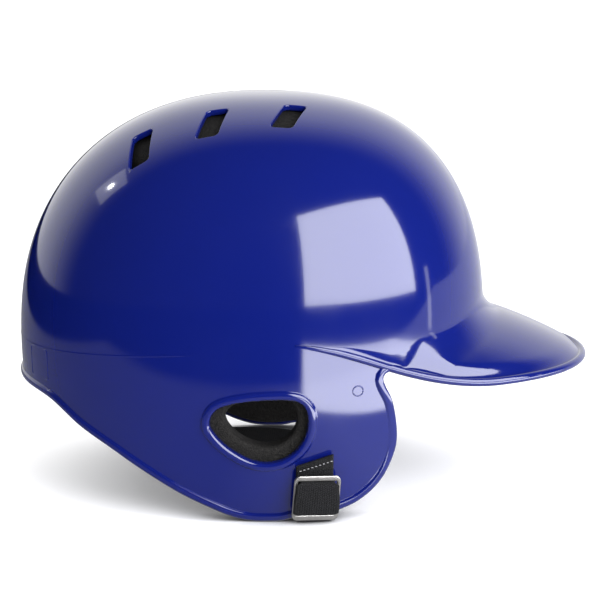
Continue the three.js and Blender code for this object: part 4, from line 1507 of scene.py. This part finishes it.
@dataclass
class Slide:
    """Three-bar slide on the right flap, with the webbing folded over its middle bar."""

    width: float = 24.0
    height: float = 25.0
    bar: float = 2.9
    side_bar: float = 2.0
    thickness: float = 1.3
    level: float = 14.6
    lift: float = 4.0
    loop: tuple = (
        (9.9, 3.1), (9.0, 3.6), (8.75, 5.0), (7.5, 6.6), (4, 7.1), (0, 7.15),
        (-4, 7.1), (-7.4, 6.6), (-8.9, 5.3),
        (-9.2, 4.2),
    )  # fmt: skip
    spread: float = 1.265

    def __post_init__(self) -> None:
        """Finds the slide's own axes on the flap."""
        self.axes = FlapFrame(Side.RIGHT, Webbing.x, self.level, -2.0)

    def build(self, metal: bpy.types.Material, groups: Groups, webbing: Webbing) -> list[bpy.types.Object]:
        """Builds the metal frame and the webbing fold.

        Args:
            metal: The frame's finish.
            groups: The shared effects.
            webbing: The strap that the fold belongs to.

        Returns:
            The two pieces.
        """
        ring = as_object("slide_frame", joined([self._ring(), self._middle_bar()]), 50.0)
        fold = as_object("slide_fold", self._fold(webbing), 50.0)
        weave = BlackWebbing("slide_fold_weave", (46.0, 24.0)).build(groups)
        return [
            place_piece(ring, metal, Slot.METAL, Body.SLIDE, "tri_glide"),
            place_piece(fold, weave, Slot.WEBBING, Body.SLIDE, "glide_loop"),
        ]

    def _bar_section(self, width: Array) -> Array:
        """Rounded sections for bars of the given widths."""
        turn = np.linspace(0, 2 * math.pi, 20, endpoint=False)
        soft = 0.55
        x = np.sign(np.cos(turn)) * np.abs(np.cos(turn)) ** soft
        y = np.sign(np.sin(turn)) * np.abs(np.sin(turn)) ** soft
        flat = np.broadcast_to(x, (len(width), 20)) * width[:, None] / 2
        return np.stack([flat, np.broadcast_to(y * self.thickness / 2, flat.shape)], axis=-1)

    def _ring(self) -> bmesh.types.BMesh:
        """The slide's outer frame."""
        path = rounded_ring((self.width - self.side_bar) / 2, (self.height - self.bar) / 2, 1.9, 10)
        path = even_points(np.vstack([path, path[:1]]), 160, True)
        tangent = unit(np.roll(path, -1, axis=0) - np.roll(path, 1, axis=0))
        width = self.side_bar + (self.bar - self.side_bar) * tangent[:, 0] ** 2
        level = np.full(len(path), self.lift + self.thickness / 2)
        points = self.axes.place(path[:, 0], path[:, 1], level)
        outward = self.axes.place(path[:, 0], path[:, 1], level + 1) - points
        return sweep(points, outward, self._bar_section(width), True)

    def _middle_bar(self) -> bmesh.types.BMesh:
        """The bar that the webbing folds over."""
        x = np.linspace(-self.width / 2 + 1.0, self.width / 2 - 1.0, 12)
        level = np.full(12, self.lift + self.thickness / 2)
        points = self.axes.place(x, 0 * x, level)
        outward = self.axes.place(x, 0 * x, level + 1) - points
        return sweep(points, outward, self._bar_section(np.full(12, 2.7)), False)

    def _fold(self, webbing: Webbing) -> bmesh.types.BMesh:
        """The webbing's fold over the middle bar, pinched where it dives behind the outer bars."""
        count = 60
        line = spline(list(self.loop), count + 1)
        tangent = unit(np.gradient(line, axis=0))
        spread = np.linspace(0, 1, count + 1)
        section = webbing.section(webbing.width - 0.3, 1.3)

        def place(s: Array, rows: Array) -> Array:
            """Points of the section at a share round the fold."""
            v, n = (np.interp(s, spread, line[:, k]) for k in (0, 1))
            tangent_v, tangent_n = (np.interp(s, spread, tangent[:, k]) for k in (0, 1))
            spread_here = self.spread - 0.09 * smooth_step(-2.0, 7.0, v)
            pinch = 0.95 + (spread_here - 0.95) * smooth_step(5.4, 6.6, n)
            crown = 0.3 * (1 - (rows[:, 0] / 9.5) ** 2) * np.sin(math.pi * s)
            return self.axes.place(
                rows[:, 0] * pinch, v - tangent_n * rows[:, 1], n + tangent_v * rows[:, 1] + crown - 0.2
            )

        return webbing.band(count, section, place)


@dataclass
class Rivet:
    """Turned fittings: the right rivet, the left press stud and their washers."""

    right_level: float = 15.0
    left_level: float = 20.0

    def build(self, metal: bpy.types.Material) -> list[bpy.types.Object]:
        """Builds the six turned pieces.

        Args:
            metal: Their finish.

        Returns:
            The pieces.
        """
        pieces = []
        for name, side, profile, body, node in (
            ("rivet_right", Side.RIGHT, self._rivet(), Body.HELMET, "right_rivet"),
            ("washer_right", Side.RIGHT, self._washer(), Body.HELMET, "right_washer"),
            ("press_cap", Side.LEFT, self._cap(), Body.TAB, "snap_cap"),
            ("press_socket", Side.LEFT, self._socket(), Body.TAB, "snap_socket"),
            ("press_stud", Side.LEFT, self._stud(), Body.HELMET, "snap_stud"),
            ("washer_left", Side.LEFT, self._washer(), Body.HELMET, "left_washer"),
        ):
            level = self.right_level if side is Side.RIGHT else self.left_level
            bm = lathe(profile)
            points = np.array([vert.co for vert in bm.verts])
            set_down = FlapFrame(side, Webbing.x, level).place(*points.T)
            for vert, point in zip(bm.verts, set_down):
                vert.co = point
            piece = as_object(name, close_up(bm), 35.0)
            pieces.append(place_piece(piece, metal, Slot.METAL, body, node))
        return pieces

    @staticmethod
    def _rivet() -> list[tuple[float, float]]:
        """Rivet outline: low domed head, shank and set tail."""
        return [
            (0, 2.95), (1.4, 2.9), (2.4, 2.75), (2.9, 2.5), (3.0, 2.3), (2.9, 2.25), (1.6, 2.2), (1.6, -4.85),
            (2.6, -4.9), (2.8, -5.1), (2.6, -5.45), (1.8, -5.6), (1.1, -5.45), (0, -5.3),
        ]  # fmt: skip

    @staticmethod
    def _washer() -> list[tuple[float, float]]:
        """Washer outline, with softened corners."""
        return [
            (1.95, -4.5), (2.05, -4.6), (4.45, -4.6), (4.6, -4.45), (4.6, -3.75), (4.45, -3.6), (2.05, -3.6),
            (1.95, -3.7), (1.95, -4.5),
        ]  # fmt: skip

    @staticmethod
    def _cap() -> list[tuple[float, float]]:
        """Press stud's cap: a domed button with a pressed ring and a barrel."""
        return [
            (0, 7.6), (1.6, 7.55), (2.9, 7.4), (3.5, 7.15), (3.9, 7.2), (4.6, 7.2), (5.5, 6.85), (6.3, 6.25),
            (6.6, 5.95), (6.55, 5.6), (6.3, 5.4), (2.6, 5.4), (2.5, 5.3), (2.5, 3.8), (2.4, 3.7), (0, 3.7),
        ]  # fmt: skip

    @staticmethod
    def _socket() -> list[tuple[float, float]]:
        """Press stud's socket ring."""
        return [
            (2.4, 1.7), (2.6, 1.5), (5.2, 1.5), (5.6, 1.8), (5.6, 2.2), (5.2, 2.6), (4.2, 2.95), (2.7, 2.95),
            (2.4, 2.75), (2.4, 1.7),
        ]  # fmt: skip

    @staticmethod
    def _stud() -> list[tuple[float, float]]:
        """Press stud's post and base."""
        return [
            (0, 3.0), (1.1, 2.95), (1.6, 2.7), (1.7, 2.3), (1.45, 1.8), (1.5, 1.2), (5.2, 1.1), (5.4, 0.9),
            (5.4, 0.45), (5.2, 0.35), (1.6, 0.3), (1.6, -4.85),
            (2.6, -4.9), (2.8, -5.1), (2.6, -5.45), (0, -5.6),
        ]  # fmt: skip


# ------------------------------------------------------------------------------------------ studio


@dataclass
class Softbox:
    """One studio light aimed at a point."""

    name: str
    place: tuple[float, float, float]
    aim: tuple[float, float, float]
    size: tuple[float, float]
    power: float
    tint: tuple[float, float, float] = (1.0, 1.0, 1.0)
    spin: float = 0.0

    def build(self) -> bpy.types.Object:
        """The light, turned to its aim and spun about it by some degrees."""
        lamp = bpy.data.lights.new(self.name, "AREA")
        lamp.shape = "RECTANGLE"
        lamp.size, lamp.size_y = self.size
        lamp.energy = self.power
        lamp.color = self.tint
        holder = bpy.data.objects.new(self.name, lamp)
        holder.location = self.place
        aimed = (Vector(self.aim) - Vector(self.place)).to_track_quat("-Z", "Y").to_matrix()
        holder.rotation_euler = (aimed @ Matrix.Rotation(math.radians(self.spin), 3, "Z")).to_euler()
        holder.visible_camera = False
        bpy.context.scene.collection.objects.link(holder)
        return holder


@dataclass
class Studio:
    """Pale floor, soft light and the camera."""

    elevation: float = 12.0
    distance: float = 1.2
    focal: float = 133.3
    target: tuple[float, float, float] = (-0.0018, 0.0, 0.095)
    painted_card_corner: tuple[float, float] = (0.039, -0.255)
    floor_drop: float = 0.0002

    def build(self) -> None:
        """Sets up the whole studio."""
        self._camera()
        self._floor()
        self._surroundings()
        for light in self.lights():
            light.build()

    def lights(self) -> list[Softbox]:
        """The studio's softboxes."""
        return [
            Softbox(
                "key_window", (0.715, -0.80, 0.61), (0.0, -0.085, 0.61), (1.18, 0.98), 35.0, (0.93, 0.94, 1.0)
            ),
            Softbox("side_strip", (0.56, -0.123, 0.095), (0.062, -0.071, 0.095), (0.026, 0.17), 0.035),
            Softbox("rear_spot", (-1.02, 0.17, 0.9), (-0.098, -0.059, 0.167), (0.05, 0.05), 0.5),
            Softbox("rear_glow", (-1.03, 0.172, 0.91), (-0.098, -0.059, 0.167), (0.3, 0.3), 0.4),
        ]

    def _camera(self) -> None:
        """The camera, level with the horizon and looking at the helmet's right side."""
        data = bpy.data.cameras.new("camera")
        data.lens = self.focal
        data.sensor_width = 36.0
        data.clip_end = 60.0
        camera = bpy.data.objects.new("camera", data)
        tilt = math.radians(self.elevation)
        away = Vector((0.0, -math.cos(tilt), math.sin(tilt)))
        camera.location = Vector(self.target) + away * self.distance
        camera.rotation_euler = (-away).to_track_quat("-Z", "Y").to_euler()
        bpy.context.scene.collection.objects.link(camera)
        bpy.context.scene.camera = camera

    def _floor(self) -> None:
        """A wide pale floor with painted shade under the helmet; for glossy rays it glows with a painted
        reflection.
        """
        bm = bmesh.new()
        bmesh.ops.create_grid(bm, x_segments=1, y_segments=1, size=14.0)
        mesh = bpy.data.meshes.new("floor")
        bm.to_mesh(mesh)
        bm.free()
        material, sheet = new_material("pale_floor")
        place = sheet.add("ShaderNodeTexCoord").outputs["Object"]
        drift = sheet.add("ShaderNodeTexNoise", {"Vector": place, "Scale": 2.0, "Detail": 2.0}).outputs[0]
        colour = sheet.blend(drift, (0.84, 0.84, 0.85, 1.0), (0.88, 0.88, 0.885, 1.0))
        # Painted reflection: glossy rays see the floor glow instead of reflect, with a lit table top
        # brightening towards +X and a bright card drawn on it.
        parts = sheet.add("ShaderNodeSeparateXYZ", {0: place})
        near = sheet.ramp(parts.outputs[1], (-0.37, 0.0), (-0.31, 1.0))
        left = sheet.ramp(parts.outputs[0], (-0.6, 0.0), (-0.54, 1.0))
        lit = sheet.ramp(parts.outputs[0], (-0.05, 0.3), (0.07, 0.95))
        painted_table_glow = sheet.sum("MULTIPLY", sheet.sum("MULTIPLY", near, left), lit)
        painted_card_glow = sheet.sum("MULTIPLY", self._beyond(sheet, place, (0.574, -0.819), 0.0, 0.012), 9.5)
        painted_card_glow = sheet.sum("MULTIPLY", painted_card_glow, self._beyond(sheet, place, (0.971, 0.24), 0.0, 0.012))
        painted_card_glow = sheet.sum("MULTIPLY", painted_card_glow, self._beyond(sheet, place, (-0.574, 0.819), -0.36, 0.03))
        painted_card_glow = sheet.sum("MULTIPLY", painted_card_glow, self._beyond(sheet, place, (-1.0, 0.0), -0.461, 0.03))
        painted_reflection_strength = sheet.sum("ADD", painted_table_glow, painted_card_glow)
        glossy = sheet.add("ShaderNodeLightPath").outputs["Is Glossy Ray"]
        # Painted shade: the floor's colour, and so its glow, is darkened towards black where ambient
        # occlusion finds it hemmed in under and around the helmet.
        shade_occlusion = sheet.add("ShaderNodeAmbientOcclusion", {"Distance": 0.13})
        share_without_painted_shade = sheet.ramp(shade_occlusion.outputs["AO"], (0.12, 0.04), (0.62, 1.0))
        colour = sheet.blend(share_without_painted_shade, (0.0, 0.0, 0.0, 1.0), colour)
        plain = sheet.add(
            "ShaderNodeBsdfPrincipled", {"Base Color": colour, "Roughness": 0.6, "Emission Color": colour}
        )
        plain.inputs["Emission Strength"].default_value = 0.26
        tint = (0.93, 0.94, 1.0, 1.0)
        # The painted reflection's glow, seen only by glossy rays.
        dim = sheet.add("ShaderNodeEmission", {"Color": tint, "Strength": painted_reflection_strength})
        shader = sheet.add("ShaderNodeMixShader", {0: glossy, 1: plain.outputs[0], 2: dim.outputs[0]})
        sheet.add("ShaderNodeOutputMaterial", {"Surface": shader.outputs[0]})
        mesh.materials.append(material)
        mesh.transform(Matrix.Translation((0.0, 0.0, -self.floor_drop)))
        floor = bpy.data.objects.new("floor", mesh)
        bpy.context.scene.collection.objects.link(floor)

    def _beyond(
        self, sheet: Sheet, place: bpy.types.NodeSocket, way: tuple[float, float], start: float, blur: float
    ) -> bpy.types.NodeSocket:
        """Share of the floor that lies beyond a line.

        Args:
            sheet: The material's sheet.
            place: The floor's own coordinates.
            way: The direction across the line.
            start: How far along that direction from the painted card's corner the line lies.
            blur: Width over which the share rises.

        Returns:
            0 short of the line and 1 beyond it.
        """
        corner = self.painted_card_corner[0] * way[0] + self.painted_card_corner[1] * way[1]
        along = sheet.add("ShaderNodeVectorMath", {0: place, 1: (*way, 0.0)}, operation="DOT_PRODUCT")
        low, high = corner + start - blur / 2, corner + start + blur / 2
        return sheet.ramp(along.outputs["Value"], (low, 0.0), (high, 1.0))

    def _surroundings(self) -> None:
        """White surroundings behind the helmet, dim ones in front of it."""
        world = bpy.data.worlds.new("studio")
        bpy.context.scene.world = world
        world.use_nodes = True
        sheet = Sheet(world.node_tree)
        direction = sheet.add("ShaderNodeTexCoord").outputs["Generated"]
        parts = sheet.add("ShaderNodeSeparateXYZ", {0: direction})
        turned = sheet.sum("SUBTRACT", parts.outputs[1], sheet.sum("MULTIPLY", parts.outputs[0], 0.13))
        behind = sheet.add(
            "ShaderNodeMapRange",
            {"Value": turned, "From Min": 0.02, "From Max": 0.68, "To Min": 0.03, "To Max": 1.15},
            interpolation_type="SMOOTHSTEP",
        ).outputs[0]
        path = sheet.add("ShaderNodeLightPath").outputs
        height = sheet.ramp(parts.outputs[2], (0.0, 0.0), (1.0, 1.4))
        above = sheet.sum("MULTIPLY", height, path["Is Diffuse Ray"])
        around = sheet.sum("ADD", behind, above)
        level = sheet.add("ShaderNodeMix", {0: path["Is Camera Ray"], 2: around, 3: 1.0}).outputs[0]
        backdrop = sheet.add("ShaderNodeBackground", {"Color": (1.0, 1.0, 1.0, 1.0), "Strength": level})
        sheet.add("ShaderNodeOutputWorld", {"Surface": backdrop.outputs[0]})
        bpy.context.scene.view_settings.view_transform = "Standard"


def main() -> None:
    """Builds the studio and every piece, in order."""
    logging.basicConfig(level=logging.INFO, format="%(message)s")
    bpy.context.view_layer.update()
    Studio().build()
    groups = Groups(grain_group(), marks_group(), weave_group())
    metal = SatinMetal().build(groups)
    webbing = Webbing()
    Shell().build(GlossPlastic().build(groups))
    Liner().build(Foam().build(groups))
    webbing.build(groups)
    Slide().build(metal, groups, webbing)
    Rivet().build(metal)


if __name__ == "__main__":
    main()
